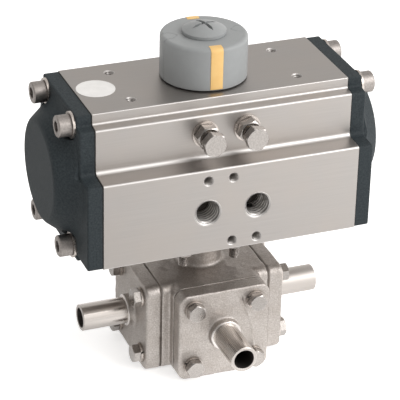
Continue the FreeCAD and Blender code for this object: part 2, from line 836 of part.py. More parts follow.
def piston():
    """The right piston: its rack arm passes in front of the pinion."""
    band_floor = piston_radius - band_depth
    seal_floor = piston_radius - seal_depth
    core_floor = piston_outer - piston_core_depth
    profile = [(0, piston_face), (piston_radius - piston_edge, piston_face),
               (piston_radius, piston_face + piston_edge), (piston_radius, band_low), (band_floor, band_low),
               (band_floor, band_high), (piston_radius, band_high), (piston_radius, seal_low),
               (seal_floor, seal_low), (seal_floor, seal_high), (piston_radius, seal_high),
               (piston_radius, piston_outer), (piston_core_radius, piston_outer),
               (piston_core_radius - 2, core_floor), (0, core_floor)]
    disc = aimed(turned(profile), (0, 0, axis_z), (1, 0, 0))
    arm = Part.Face(rack_outline()).extrude(Vector(0, 0, gear_width))
    arm.translate(Vector(0, 0, gear_low))
    arm = arm.common(on_axis(rack_back_radius, -rack_reach - 1, piston_face + 2))
    return disc.fuse(arm).cut(rack_shoe())


def rack_shoe():
    """The curved slide shoe let into the back of the rack."""
    middle = (piston_face - rack_reach) / 2 - shoe_offset
    low = middle - shoe_length / 2
    high = middle + shoe_length / 2
    tube = on_axis(cylinder_radius - running_gap, low, high)
    tube = tube.cut(on_axis(rack_back_radius - shoe_inset, low - 1, high + 1))
    return tube.common(block((low, high), (-cylinder_radius, 0),
                             (axis_z - shoe_height / 2, axis_z + shoe_height / 2)))


def piston_band():
    band = on_axis(cylinder_radius - running_gap, band_low, band_high)
    return band.cut(on_axis(piston_radius - band_depth, band_low - 1, band_high + 1))


def soft_ring(inner, outer, low, high):
    """A seal ring about Z with bevelled corners."""
    bevel = (outer - inner) * 0.28
    rise = (high - low) * 0.28
    return turned([(inner + bevel, low), (outer - bevel, low), (outer, low + rise), (outer, high - rise),
                   (outer - bevel, high), (inner + bevel, high), (inner, high - rise), (inner, low + rise)])


def piston_seal():
    section = soft_ring(piston_radius - seal_depth, cylinder_radius - running_gap,
                        seal_low + seal_side_gap, seal_high - seal_side_gap)
    return aimed(section, (0, 0, axis_z), (1, 0, 0))


# Pinion

def gear_outline():
    """Involute teeth with chorded flanks and radial roots; one tooth points straight to the rear."""
    angle = math.radians(pressure_angle)
    base = pitch_radius * math.cos(angle)
    root = pitch_radius - rack_addendum - 2 * root_clearance
    half_tooth = (tooth_pitch - backlash) / 4 / pitch_radius
    involute = math.tan(angle) - angle
    flank = [(root, half_tooth + involute), (base, half_tooth + involute)]
    steps = 4
    for step in range(1, steps + 1):
        radius = base + (gear_outer - base) * step / steps
        local = math.acos(base / radius)
        flank.append((radius, half_tooth + involute - (math.tan(local) - local)))
    points = []
    for tooth in range(pinion_teeth):
        middle = math.pi / 2 + 2 * math.pi * tooth / pinion_teeth
        for radius, offset in flank:
            points.append(polar(radius, middle - offset))
        for radius, offset in reversed(flank):
            points.append(polar(radius, middle + offset))
    points.append(points[0])
    return Part.makePolygon(points)


def polar(radius, angle):
    return Vector(radius * math.cos(angle), radius * math.sin(angle), 0)


def cam_seat(low, high):
    """The double-flatted seat of the stop cam."""
    flats = block((-cam_seat_radius, cam_seat_radius), (-cam_seat_half, cam_seat_half), (low, high))
    return sector(cam_seat_radius, low, high).common(flats)


def pinion():
    """The drive shaft: foot with its grooves, gear, cam seat, journal and flatted stub."""
    foot = foot_radius - running_gap
    seal_high = foot_seal_low + foot_seal_height
    foot_band_high = foot_band_low + foot_band_height
    journal_seal_high = journal_seal_low + journal_seal_height
    profile = [(0, foot_low), (foot - shaft_chamfer, foot_low), (foot, foot_low + shaft_chamfer),
               (foot, foot_seal_low), (foot - foot_seal_depth, foot_seal_low),
               (foot - foot_seal_depth, seal_high), (foot, seal_high), (foot, foot_band_low),
               (foot - foot_band_depth, foot_band_low), (foot - foot_band_depth, foot_band_high),
               (foot, foot_band_high), (foot, foot_high), (lower_shaft_radius, foot_high),
               (lower_shaft_radius, gear_low), (neck_shaft_radius, gear_low), (neck_shaft_radius, cam_low),
               (journal_radius, cam_low), (journal_radius, journal_seal_low),
               (journal_radius - journal_seal_depth, journal_seal_low),
               (journal_radius - journal_seal_depth, journal_seal_high), (journal_radius, journal_seal_high),
               (journal_radius, ring_low), (ring_groove_radius, ring_low),
               (ring_groove_radius, ring_low + ring_thickness), (journal_radius, ring_low + ring_thickness),
               (journal_radius, pinion_top - shaft_chamfer), (journal_radius - shaft_chamfer, pinion_top),
               (0, pinion_top)]
    gear = Part.Face(gear_outline()).extrude(Vector(0, 0, gear_width))
    gear.translate(Vector(0, 0, gear_low))
    seat = cam_seat(cam_low - shaft_chamfer, cam_high)
    side = (stem_square + socket_clearance) / 2
    socket = block((-side, side), (-side, side), (foot_low - 1, foot_low + socket_depth))
    thread = sector(m6_radius, pinion_top - indicator_thread_depth, pinion_top + 1)
    flat = block((-journal_radius, journal_radius), (stub_flats / 2, journal_radius),
                 (housing_top + stub_flats_rise, pinion_top))
    flats = [spun(flat, indicator_turn), spun(flat, indicator_turn + 180)]
    return turned(profile).fuse([gear, seat]).cut([socket, thread] + flats)


def lower_oring():
    return soft_ring(foot_radius - running_gap - foot_seal_depth, foot_radius - running_gap / 2,
                     foot_seal_low + seal_side_gap, foot_seal_low + foot_seal_height - seal_side_gap)


def lower_bearing():
    return ring(foot_radius - running_gap - foot_band_depth, foot_radius - running_gap / 2,
                foot_band_low, foot_band_low + foot_band_height)


def upper_oring():
    return soft_ring(journal_radius - journal_seal_depth, bush_radius - running_gap / 2,
                     journal_seal_low + seal_side_gap,
                     journal_seal_low + journal_seal_height - seal_side_gap)


def upper_bearing():
    high = housing_top - bush_drop
    return ring(journal_radius + running_gap, bush_radius, high - bush_length, high)


def stop_cam():
    """A quadrant lobe on a hub: its front face meets the right stop screw at rest, its left face
    meets the left stop screw after a quarter turn."""
    span = (-cam_stop_offset, cam_radius)
    quadrant = sector(cam_radius, cam_low, cam_high).common(block(span, span, (cam_low, cam_high)))
    blank = sector(cam_hub_radius, cam_low, cam_high).fuse(quadrant).removeSplitter()
    return blank.cut(cam_seat(cam_low - 1, cam_high + 1))


def stop_screw(side):
    """A hexagon screw with a dog point, its head in front of the housing's flank."""
    x = stop_screw_spacing / 2 * (1 if side == "right" else -1)
    radius = m6_radius - thread_gap
    length = stop_screw_length
    shank = turned([(0, 0.5), (radius, 0.5), (radius, stop_tip_length - length),
                    (stop_tip_radius, stop_tip_length - length), (stop_tip_radius, -length), (0, -length)])
    screw = hexagon(m6_flats, 0, m6_head, chamfered=True).fuse(shank)
    turn = 8 if side == "right" else -14
    tip_y = -cam_stop_offset - running_gap
    return aimed(spun(screw, turn), (x, tip_y - length, stop_z), (0, -1, 0))


def stop_nuts_and_washers():
    nuts = []
    washers = []
    flank = -flank_width / 2
    for x in (-stop_screw_spacing / 2, stop_screw_spacing / 2):
        nut = hexagon(m6_flats, 0, m6_nut, chamfered=True).cut(sector(m6_radius, -1, m6_nut + 1))
        washer = ring(m6_radius + hole_gap, stop_washer_radius, 0, stop_washer_thickness)
        washers.append(aimed(washer, (x, flank, stop_z), (0, -1, 0)))
        nuts.append(aimed(spun(nut, 5 + x), (x, flank - stop_washer_thickness, stop_z), (0, -1, 0)))
    return nuts, washers


# Position indicator

def thrust_washer():
    low = housing_top + running_gap
    return ring(journal_radius + running_gap, washer_radius, low, low + washer_thickness)


def retaining_ring():
    high = ring_low + ring_thickness
    opening = block((0, ring_radius + 1), (-ring_opening / 2, ring_opening / 2), (ring_low - 1, high + 1))
    return ring(ring_groove_radius, ring_radius, ring_low, high).cut(opening)


def indicator_base_ring():
    low = housing_top + float_gap
    return ring(base_ring_bore, base_ring_radius, low, indicator_low)


def cap_blank(inset=0.0):
    """The outer form of the indicator cap, drawn in by inset."""
    radius = indicator_radius - inset
    return turned([(0, indicator_low), (radius, indicator_low),
                   (radius, indicator_top - inset, indicator_round), (0, indicator_top - inset)])


def mark_shell():
    """The skin of the cap that the coloured strips replace, a little proud of it."""
    return cap_blank(-mark_proud).cut(cap_blank(mark_thickness))


def yellow_marks(gap=0.0):
    """Two strips, front and rear, that lap over the cap's upper edge. Their pockets are wider by a gap."""
    half = mark_width / 2 + gap
    inner = indicator_radius - mark_return - gap
    high = indicator_top + 1
    front = block((-half, half), (-indicator_radius - 1, -inner), (indicator_low + mark_lift - gap, high))
    strip = mark_shell().common(front)
    return [spun(strip, indicator_turn), spun(strip, indicator_turn + 180)]


def grey_marks(gap=0.0):
    """Two strips, left and right, whose upper ends are arrow points. Their pockets are wider by a gap."""
    half = mark_width / 2 + gap
    edge = indicator_radius - mark_return
    outline = [Vector(indicator_radius + 1, -half, 0), Vector(indicator_radius + 1, half, 0),
               Vector(edge, half, 0), Vector(edge - arrow_point - gap, 0, 0), Vector(edge, -half, 0),
               Vector(indicator_radius + 1, -half, 0)]
    column = Part.Face(Part.makePolygon(outline)).extrude(Vector(0, 0, indicator_height + 2))
    column.translate(Vector(0, 0, indicator_low + mark_lift - gap))
    strip = cap_blank().cut(cap_blank(mark_thickness)).common(column)
    return [spun(strip, indicator_turn), spun(strip, indicator_turn + 180)]


def indicator_cap():
    ceiling = indicator_top - indicator_wall
    hub_low = indicator_low + indicator_hub_lift
    shell = cap_blank().cut(sector(indicator_radius - indicator_wall, indicator_low - 1, ceiling))
    hub = sector(indicator_hub_radius, hub_low, ceiling + 0.5)
    flats = (stub_flats + socket_clearance) / 2
    drive = sector(journal_radius + running_gap, hub_low - 1, pinion_top + stub_gap)
    drive = drive.common(block((-indicator_radius, indicator_radius), (-flats, flats),
                               (hub_low - 1, pinion_top + stub_gap)))
    screw_way = sector(m6_radius + screw_way_gap, pinion_top - 1, indicator_top + 1)
    pockets = yellow_marks(mark_gap) + grey_marks(mark_gap)
    return shell.fuse(hub).cut([spun(drive, indicator_turn), screw_way] + pockets)


def indicator_screw():
    """A wide low-domed screw with a cross recess, threaded into the pinion."""
    rim = indicator_top + disc_side
    top = rim + disc_dome
    start = Vector(disc_radius, 0, rim)
    sag = disc_dome
    sphere_radius = (disc_radius ** 2 + sag ** 2) / (2 * sag)
    middle_r = disc_radius / 2
    middle_z = top - sphere_radius + math.sqrt(sphere_radius ** 2 - middle_r ** 2)
    arc = Part.Arc(start, Vector(middle_r, 0, middle_z), Vector(0, 0, top)).toShape()
    foot = [Vector(0, 0, top), Vector(0, 0, indicator_top),
            Vector(disc_radius - disc_edge, 0, indicator_top),
            Vector(disc_radius, 0, indicator_top + disc_edge), start]
    edges = [Part.LineSegment(a, b).toShape() for a, b in zip(foot, foot[1:])]
    head = Part.Face(Part.Wire([arc] + edges)).revolve(Vector(0, 0, 0), Vector(0, 0, 1), 360)
    shank = sector(m6_radius - thread_gap, pinion_top - indicator_screw_depth, indicator_top + 0.5)
    half = cross_width / 2
    shoulder = cross_arm * cross_taper
    outline = [Vector(-cross_arm, 0, 0), Vector(-shoulder, -half, 0), Vector(shoulder, -half, 0),
               Vector(cross_arm, 0, 0), Vector(shoulder, half, 0), Vector(-shoulder, half, 0),
               Vector(-cross_arm, 0, 0)]
    arm = Part.Face(Part.makePolygon(outline)).extrude(Vector(0, 0, cross_depth + 1))
    arm.translate(Vector(0, 0, top - cross_depth))
    cross = spun(arm, cross_turn).fuse(spun(arm, cross_turn + 90))
    return head.fuse(shank).cut(cross)


def write_valve():
    save("valve_body", valve_body())
    for side in side_turn:
        save("plate_" + side, plate(side, side != "rear"))
        save("plate_gasket_" + side, plate_gasket(side))
        if side != "rear":
            save("tube_end_" + side, tube_end(side))
    bolts, washers = flange_fasteners()
    save("flange_bolts", bolts)
    save("flange_spring_washers", washers)
    save("ball", ball())
    save("ball_seats", seats())
    save("stem", stem())
    save("stem_thrust_washer", stem_thrust_washer())
    save("stem_packing", stem_packing())
    save("stem_gland", stem_gland())
    save("stem_disc_springs", disc_springs())
    save("stem_nut", stem_nut())
    studs, nuts, spring_washers = mounting_fasteners()
    save("mounting_studs", studs)
    save("mounting_nuts", nuts)
    save("mounting_spring_washers", spring_washers)


def write_actuator():
    save("actuator_housing", housing())
    for side in ("left", "right"):
        save("end_cap_" + side, end_cap(side))
        save("cap_gasket_" + side, cap_gasket(side))
        screws, washers = cap_fasteners(side)
        save("cap_screws_" + side, screws)
        save("cap_washers_" + side, washers)
        degrees = 0 if side == "right" else 180
        save("piston_" + side, spun(piston(), degrees))
        save("piston_band_" + side, spun(piston_band(), degrees))
        save("piston_seal_" + side, spun(piston_seal(), degrees))
        save("rack_shoe_" + side, spun(rack_shoe(), degrees))
        save("stop_screw_" + side, stop_screw(side))
    nuts, washers = stop_nuts_and_washers()
    save("stop_nuts", nuts)
    save("stop_washers", washers)
    save("pinion", pinion())
    save("pinion_oring_lower", lower_oring())
    save("pinion_oring_upper", upper_oring())
    save("pinion_bearing_lower", lower_bearing())
    save("pinion_bearing_upper", upper_bearing())
    save("stop_cam", stop_cam())
    save("thrust_washer", thrust_washer())
    save("retaining_ring", retaining_ring())


def write_indicator():
    save("indicator_base_ring", indicator_base_ring())
    save("indicator_cap", indicator_cap())
    save("indicator_yellow_marks", yellow_marks())
    save("indicator_grey_marks", grey_marks())
    save("indicator_screw", indicator_screw())


os.makedirs("parts", exist_ok=True)
write_valve()
write_actuator()
write_indicator()
print("files:", len(os.listdir("parts")))
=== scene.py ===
# %% [markdown]
# # A pneumatic three-way ball valve
# The object is a small air actuator that stands on a stainless steel ball valve. The solids come from
# a CAD model, so this lesson is about what turns them into the real thing: the finish of each metal,
# coating and plastic, and the small forms that a workshop model leaves out, such as threads.

# %% Load the frame
import math

import bmesh
import bpy
import numpy as np
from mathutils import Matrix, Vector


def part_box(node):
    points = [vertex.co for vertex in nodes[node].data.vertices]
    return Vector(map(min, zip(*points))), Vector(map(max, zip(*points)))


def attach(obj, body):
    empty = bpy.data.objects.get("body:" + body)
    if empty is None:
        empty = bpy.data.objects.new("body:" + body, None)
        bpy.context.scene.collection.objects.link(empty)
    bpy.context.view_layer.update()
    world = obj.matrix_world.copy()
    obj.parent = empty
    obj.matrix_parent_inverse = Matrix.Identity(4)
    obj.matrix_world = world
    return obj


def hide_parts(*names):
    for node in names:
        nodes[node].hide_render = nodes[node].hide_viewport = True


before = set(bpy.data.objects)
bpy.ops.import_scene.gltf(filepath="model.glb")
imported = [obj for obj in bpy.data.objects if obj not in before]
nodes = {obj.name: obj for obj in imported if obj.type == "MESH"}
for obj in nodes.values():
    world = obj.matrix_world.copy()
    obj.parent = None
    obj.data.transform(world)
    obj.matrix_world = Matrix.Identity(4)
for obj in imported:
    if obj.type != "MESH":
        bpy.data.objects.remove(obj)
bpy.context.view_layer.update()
mm = 0.001

# %% [markdown]
# ## Colours and nodes
# Colours are written as the hex values that a colour picker shows. A renderer adds up light, so it needs
# them on a linear scale: each channel c becomes ((c + 0.055) / 1.055) ** 2.4, or c / 12.92 when it is dark.
# Nodes could be laid out by hand in the editor. Here one function adds a node with all its settings.


# %% Colour and node helpers
def colour(code):
    """The linear RGBA value of an sRGB hex colour."""
    channels = np.array([int(code[place:place + 2], 16) for place in (1, 3, 5)]) / 255
    linear = np.where(channels > 0.04045, ((channels + 0.055) / 1.055) ** 2.4, channels / 12.92)
    return (*linear.tolist(), 1.0)


def add(tree, kind, links=None, **settings):
    """Add one node. Settings are its own properties. Links give each input a value or a socket."""
    made = tree.nodes.new("ShaderNode" + kind)
    for name, value in settings.items():
        setattr(made, name, value)
    for name, value in (links or {}).items():
        if isinstance(value, bpy.types.NodeSocket):
            tree.links.new(value, made.inputs[name])
        else:
            made.inputs[name].default_value = value
    return made


print("mid grey #808080 is", round(colour("#808080")[0], 3), "on the linear scale")

# %% [markdown]
# ## The camera
# The photograph was taken with a long lens from above the object's left front corner. Its place was
# worked out from the straight edges of the housing. Three turns could aim it, but writing its axes down
# leaves no doubt about their order. It looks along its own -Z, so they are right, up and back, the first
# two turned a little because the picture is not quite level.

# %% Place the camera
camera_azimuth = math.radians(-21.68)
camera_elevation = math.radians(28.03)
camera_roll = math.radians(1.38)
camera_distance = 962.84 * mm
camera_aim = np.array([-0.02, 0.0, 75.24]) * mm
camera_lens = 184.73
sensor_width = 36.0
nearest_seen = 0.05


def placed(name, data):
    """A new object in the scene, at the origin."""
    thing = bpy.data.objects.new(name, data)
    bpy.context.scene.collection.objects.link(thing)
    return thing


def turn_to(thing, right, up, back, place):
    """Put a thing at a place with its X, Y and Z axes along right, up and back."""
    matrix = np.eye(4)
    matrix[:3, :3] = np.transpose([right, up, back])
    matrix[:3, 3] = place
    thing.matrix_world = matrix.T.tolist()


def place_camera():
    """Make the scene's own camera, with its three axes worked out from its three angles."""
    level = math.cos(camera_elevation)
    back = np.array([math.sin(camera_azimuth) * level, -math.cos(camera_azimuth) * level,
                     math.sin(camera_elevation)])
    right = np.array([math.cos(camera_azimuth), math.sin(camera_azimuth), 0.0])
    up = np.cross(back, right)
    rolled_right = math.cos(camera_roll) * right + math.sin(camera_roll) * up
    rolled_up = math.cos(camera_roll) * up - math.sin(camera_roll) * right
    data = bpy.data.cameras.new("camera")
    data.lens = camera_lens
    data.sensor_width = sensor_width
    data.clip_start = nearest_seen
    camera = placed("camera", data)
    turn_to(camera, rolled_right, rolled_up, back, camera_aim + back * camera_distance)
    bpy.context.scene.camera = camera
    return camera


camera = place_camera()
print("camera at", [round(value, 3) for value in camera.matrix_world.translation])

# %% [markdown]
# ## The floor
# A product photograph is taken in a tent of white cloth. Metal shows what is around it far more than it
# shows its lamps, so the surroundings come first. White paper stands for the tent's bottom. A stronger
# lamp could make it white, but would bleach the object too. So the paper glows a little, and only for
# some rays: the camera's, and those that a mirror sends out. These find a painted light on it, brighter on
# the right and close to the valve's front, and a painted shade, a little greyer on the left. A strength of
# 1 is white.

# %% The white floor
floor_side = 6.0
floor_white = colour("#f4f4f4")
camera_glow = 0.55
mirror_glow = 0.32
mirror_shade = 0.8
mirror_reach = 0.25
near_glow = 0.52
near_place = (0.0, -0.035, 0.0)
near_reach = (0.02, 0.08)


def between(reach):
    """The settings of a range that starts and ends at the two values of a reach."""
    return {"From Min": reach[0], "From Max": reach[1]}


def ray_share(tree, shares):
    """A strength that depends on what kind of ray arrives, as the sum of share times kind."""
    path = add(tree, "LightPath")
    total = 0.0
    for kind, share in shares.items():
        total = add(tree, "Math", {0: path.outputs[kind], 1: share, 2: total},
                    operation="MULTIPLY_ADD").outputs[0]
    return total


def white_floor():
    """A large plane of white paper with a faint glow for the rays that see it."""
    corner = floor_side / 2
    mesh = bpy.data.meshes.new("floor")
    mesh.from_pydata([(-corner, -corner, 0), (corner, -corner, 0), (corner, corner, 0), (-corner, corner, 0)],
                     [], [(0, 1, 2, 3)])
    floor = placed("floor", mesh)
    material = bpy.data.materials.new("white_paper")
    material.use_nodes = True
    tree = material.node_tree
    tree.nodes.clear()
    spot = add(tree, "TexCoord").outputs["Object"]
    across = add(tree, "SeparateXYZ", {0: spot}).outputs["X"]
    rightness = add(tree, "MapRange", {"Value": across, "From Min": -mirror_reach, "From Max": mirror_reach},
                    interpolation_type="SMOOTHSTEP").outputs[0]
    glossy = add(tree, "LightPath").outputs["Is Glossy Ray"]
    # Painted shade: mirrored rays find the paper greyer on the left.
    shaded = add(tree, "MapRange", {"Value": rightness, "To Min": glossy, "To Max": 0.0}).outputs[0]
    grey = floor_white[0] * mirror_shade
    paper_colour = add(tree, "Mix", {0: shaded, 6: floor_white, 7: (grey, grey, grey, 1.0)},
                       data_type="RGBA").outputs[2]
    paper = add(tree, "BsdfDiffuse", {"Color": paper_colour})
    # Painted light: mirrored rays find the paper glowing more on the right and close in front of the valve.
    distance = add(tree, "VectorMath", {0: spot, 1: near_place}, operation="DISTANCE").outputs["Value"]
    near = add(tree, "MapRange", {"Value": distance, **between(near_reach), "To Min": near_glow,
                                  "To Max": 0.0}, interpolation_type="SMOOTHSTEP").outputs[0]
    mirrored = add(tree, "Math", {0: rightness, 1: mirror_glow, 2: near}, operation="MULTIPLY_ADD").outputs[0]
    strength = ray_share(tree, {"Is Camera Ray": camera_glow, "Is Glossy Ray": mirrored,
                                "Is Transmission Ray": camera_glow})
    glow = add(tree, "Emission", {"Color": (1, 1, 1, 1), "Strength": strength})
    lit = add(tree, "AddShader", {0: paper.outputs[0], 1: glow.outputs[0]})
    add(tree, "OutputMaterial", {"Surface": lit.outputs[0]})
    mesh.materials.append(material)
    print("floor of", floor_side, "m")


white_floor()

# %% [markdown]
# ## The tent
# The world stands for the tent's walls and roof. The roof is greyer than the floor, which is why the top
# of the actuator looks darker than its front: the front mirrors the floor, and the top mirrors the roof.
# The tent's mouth, where the camera looks in, is dark, and the cloth above it is bright. Sheets of cloth
# could be built, but a ray's direction is enough to tell them apart: its Z for the height, its Z less
# its Y for the cloth above the front, and its share along one direction for the mouth.

# %% The tent as a world
wall_level = 0.95
roof_level = 0.6
roof_from = 0.45
right_share = 0.3
tent_tint = (1.0, 0.975, 0.95, 1.0)
front_roof_level = 1.2
front_roof_reach = (0.95, 1.3)
mouth_level = 0.3
mouth_direction = (-0.5, -0.78, 0.38)
mouth_reach = (0.72, 0.92)
diffuse_level = 1.25


def tent_world():
    """A world that is white at the horizon, grey overhead, bright above the front and dark at the mouth."""
    world = bpy.data.worlds.new("tent")
    world.use_nodes = True
    tree = world.node_tree
    tree.nodes.clear()
    direction = add(tree, "TexCoord").outputs["Generated"]
    parts = add(tree, "SeparateXYZ", {0: direction}).outputs
    walls = add(tree, "MapRange", {"Value": parts["Z"], "From Max": roof_from, "To Min": wall_level,
                                   "To Max": roof_level}, interpolation_type="SMOOTHSTEP").outputs[0]
    forward = add(tree, "Math", {0: parts["Z"], 1: parts["Y"]}, operation="SUBTRACT").outputs[0]
    above = add(tree, "MapRange", {"Value": forward, **between(front_roof_reach)},
                interpolation_type="SMOOTHSTEP").outputs[0]
    roofed = add(tree, "Mix", {0: above, 2: walls, 3: front_roof_level}, data_type="FLOAT").outputs[0]
    towards = add(tree, "VectorMath", {0: direction, 1: mouth_direction}, operation="DOT_PRODUCT")
    mouth = add(tree, "MapRange", {"Value": towards.outputs["Value"], **between(mouth_reach)},
                interpolation_type="SMOOTHSTEP").outputs[0]
    shaped = add(tree, "Mix", {0: mouth, 2: roofed, 3: mouth_level}, data_type="FLOAT").outputs[0]
    level = ray_share(tree, {"Is Glossy Ray": 1.0, "Is Diffuse Ray": diffuse_level,
                             "Is Transmission Ray": 1.0})
    side = add(tree, "Math", {0: parts["X"], 1: right_share, 2: 1.0}, operation="MULTIPLY_ADD").outputs[0]
    sided = add(tree, "Math", {0: shaped, 1: side}, operation="MULTIPLY").outputs[0]
    strength = add(tree, "Math", {0: sided, 1: level}, operation="MULTIPLY").outputs[0]
    lighting = add(tree, "Background", {"Color": tent_tint, "Strength": strength})
    showing = add(tree, "Background", {"Color": (1, 1, 1, 1)})
    path = add(tree, "LightPath")
    mixed = add(tree, "MixShader", {0: path.outputs["Is Camera Ray"], 1: lighting.outputs[0],
                                    2: showing.outputs[0]})
    add(tree, "OutputWorld", {"Surface": mixed.outputs[0]})
    bpy.context.scene.world = world
    print("world of", len(tree.nodes), "nodes")


tent_world()

# %% [markdown]
# ## The lamp
# One large square lamp on the right gives the soft highlights and the shadow on the floor. A small lamp or
# a sun would draw both with hard edges. The view transform is Standard, which shows each colour as written.


# %% The key lamp
def soft_lamp(name, place, aim, size, power):
    """A square lamp at a place, turned so that its -Z points at the aim."""
    data = bpy.data.lights.new(name, "AREA")
    data.size = size
    data.energy = power
    back = np.array(place) - np.array(aim)
    back = back / np.linalg.norm(back)
    right = np.cross([0.0, 0.0, 1.0], back)
    right = right / np.linalg.norm(right)
    turn_to(placed(name, data), right, np.cross(back, right), back, place)


soft_lamp("key", place=(0.76, -0.66, 0.66), aim=(0.0, 0.0, 0.09), size=0.75, power=6.0)
bpy.context.scene.view_settings.view_transform = "Standard"

# %% [markdown]
# ## A start for every material
# All materials read object coordinates. Every object sits at the origin, so one metre of that
# coordinate is one real metre, and a pattern's scale is simply one over its real size. The bevel node
# bends the shading normal near a sharp edge, which gives each edge the thin bright line of a real one
# without a new face. Nothing made in a workshop is even, so every finish gets blotches of two shades and
# a fine relief. Noise keeps to the middle of its range, so that part is stretched to the whole.

# %% Helpers for materials
noise_reach = (0.32, 0.68)
open_reach = (0.35, 0.85)
crease_dark = 0.8
gloss_spot_share = 0.6


def per_metre(size_mm):
    """How many features of this size fit in a metre."""
    return 1000.0 / size_mm


def start(name, edge_mm=0.15):
    """A new material: its tree, its shader, object coordinates and a softened normal."""
    material = bpy.data.materials.new(name)
    material.use_nodes = True
    tree = material.node_tree
    shader = tree.nodes["Principled BSDF"]
    place = add(tree, "TexCoord").outputs["Object"]
    soft = add(tree, "Bevel", {"Radius": edge_mm * mm}, samples=4).outputs[0]
    return material, tree, shader, place, soft


def dress(tree, shader, metallic, tint, rough, relief=None):
    """Give the shader its metallic share, colour, roughness and, if there is one, its relief."""
    shader.inputs["Metallic"].default_value = metallic
    tree.links.new(tint, shader.inputs["Base Color"])
    tree.links.new(rough, shader.inputs["Roughness"])
    if relief is not None:
        tree.links.new(relief, shader.inputs["Normal"])


def blotches(tree, place, size_mm, low=0.0, high=1.0, detail=2.0):
    """Soft spots of a real size whose value runs from low to high."""
    noise = add(tree, "TexNoise", {"Vector": place, "Scale": per_metre(size_mm), "Detail": detail}).outputs[0]
    return add(tree, "MapRange", {"Value": noise, **between(noise_reach), "To Min": low,
                                  "To Max": high}).outputs[0]


def creased(tree, tint, reach_mm, dark):
    """The tint with a painted shade: darker where something else is nearer than the reach, as in a crease."""
    openness = add(tree, "AmbientOcclusion", {"Distance": reach_mm * mm}, samples=6).outputs["AO"]
    amount = add(tree, "MapRange", {"Value": openness, **between(open_reach), "To Min": dark,
                                    "To Max": 0.0}).outputs[0]
    return add(tree, "Mix", {0: amount, 6: tint, 7: colour("#2a2522")}, data_type="RGBA").outputs[2]


def finish(name, shades, rough, spot_mm, grit_mm, grit_depth_mm, metallic=0.0, edge_mm=0.15, crease_mm=0.0):
    """A material of two shades in blotches, with a roughness range, a fine relief and painted shade in
    creases.
    """
    material, tree, shader, place, soft = start(name, edge_mm)
    spots = blotches(tree, place, spot_mm)
    tint = add(tree, "Mix", {0: spots, 6: colour(shades[0]), 7: colour(shades[1])},
               data_type="RGBA").outputs[2]
    # Painted shade: the colour darkens in creases, by how much of the sky a point sees.
    if crease_mm:
        tint = creased(tree, tint, crease_mm, crease_dark)
    grit = blotches(tree, place, grit_mm)
    relief = add(tree, "Bump", {"Height": grit, "Distance": grit_depth_mm * mm, "Normal": soft}).outputs[0]
    gloss = blotches(tree, place, spot_mm * gloss_spot_share, rough[0], rough[1])
    dress(tree, shader, metallic, tint, gloss, relief)
    return material


def wear(material, *names):
    """Give solids a material."""
    for name in names:
        nodes[name].data.materials.clear()
        nodes[name].data.materials.append(material)
    print(material.name, "on", ", ".join(names))


print("a 2 mm pattern has", per_metre(2), "features in a metre")

# %% [markdown]
# ## Bead-blasted, anodised aluminium
# The housing is sawn from an extruded bar, so fine die lines run along X. It was then blasted with beads
# and anodised, which leaves a satin skin: a metal of medium roughness with a warm grey tint. Anisotropy
# could smear its highlight, but the lines themselves should show. So they are a noise stretched along X,
# drawn 0.35 mm apart because the real ones are too fine to show. The rounded edges get a painted highlight,
# a near-white mixed into the colour. They are where the normal lies between the axes: the length of its
# squared parts is 1 on a face that is square to an axis, and 0.7 half way round an edge.

# %% Satin aluminium for the housing
die_line_mm = 0.35
die_line_length_mm = 30.0
die_line_reach = (0.3, 0.7)
blast_grit_mm = 0.3
cloud_mm = 22
cloud_share = 0.5
edge_reach = (0.97, 0.8)
edge_share = 0.45


def satin_aluminium():
    """Extruded, blasted and anodised aluminium, with a painted highlight on its rounded edges."""
    material, tree, shader, place, soft = start("anodised_aluminium", 0.32)
    squeeze = (die_line_mm / die_line_length_mm, 1.0, 1.0)
    drawn = add(tree, "Mapping", {"Vector": place, "Scale": squeeze}).outputs[0]
    lines = add(tree, "TexNoise", {"Vector": drawn, "Scale": per_metre(die_line_mm),
                                   "Detail": 3.0}).outputs[0]
    clouds = blotches(tree, place, cloud_mm)
    grit = blotches(tree, place, blast_grit_mm, detail=1.0)
    shade = add(tree, "MapRange", {"Value": lines, **between(die_line_reach)}).outputs[0]
    tint = add(tree, "Mix", {0: shade, 6: colour("#b3afac"), 7: colour("#bab6b3")},
               data_type="RGBA").outputs[2]
    mixing = add(tree, "Math", {0: clouds, 1: cloud_share}, operation="MULTIPLY").outputs[0]
    warm = add(tree, "Mix", {0: mixing, 6: tint, 7: colour("#bbb4ae")}, data_type="RGBA").outputs[2]
    # Painted highlight: a near-white is mixed in where the shading normal bends round an edge.
    squared = add(tree, "VectorMath", {0: soft, 1: soft}, operation="MULTIPLY").outputs[0]
    evenness = add(tree, "VectorMath", {0: squared}, operation="LENGTH").outputs["Value"]
    worn = add(tree, "MapRange", {"Value": evenness, **between(edge_reach), "To Max": edge_share}).outputs[0]
    rubbed = add(tree, "Mix", {0: worn, 6: warm, 7: colour("#faf9f8")}, data_type="RGBA").outputs[2]
    rough = add(tree, "MapRange", {"Value": lines, "To Min": 0.4, "To Max": 0.46}).outputs[0]
    relief = add(tree, "Bump", {"Height": lines, "Strength": 0.03, "Distance": 0.05 * mm, "Normal": soft})
    blasted = add(tree, "Bump", {"Height": grit, "Strength": 0.05, "Distance": 0.03 * mm,
                                 "Normal": relief.outputs[0]}).outputs[0]
    dress(tree, shader, 1.0, rubbed, rough, blasted)
    return material


wear(satin_aluminium(), "actuator_housing")

# %% [markdown]
# ## Powder-coated end caps
# The caps are die-cast aluminium under a dark grey epoxy powder. The powder melts into a skin that is
# matt and slightly pebbled, so it needs a small relief and a fairly rough, non-metallic shine. A coat
# layer over metal would show the metal through, so the skin is one plain layer with a weak gloss.

# %% Powder coat for the caps
powder = finish("epoxy_powder_coat", ("#2d3337", "#3a4144"), (0.5, 0.6), 0.8, 0.5, 0.05, edge_mm=0.4)
powder.node_tree.nodes["Principled BSDF"].inputs["Specular IOR Level"].default_value = 0.15
wear(powder, "end_cap_left", "end_cap_right")
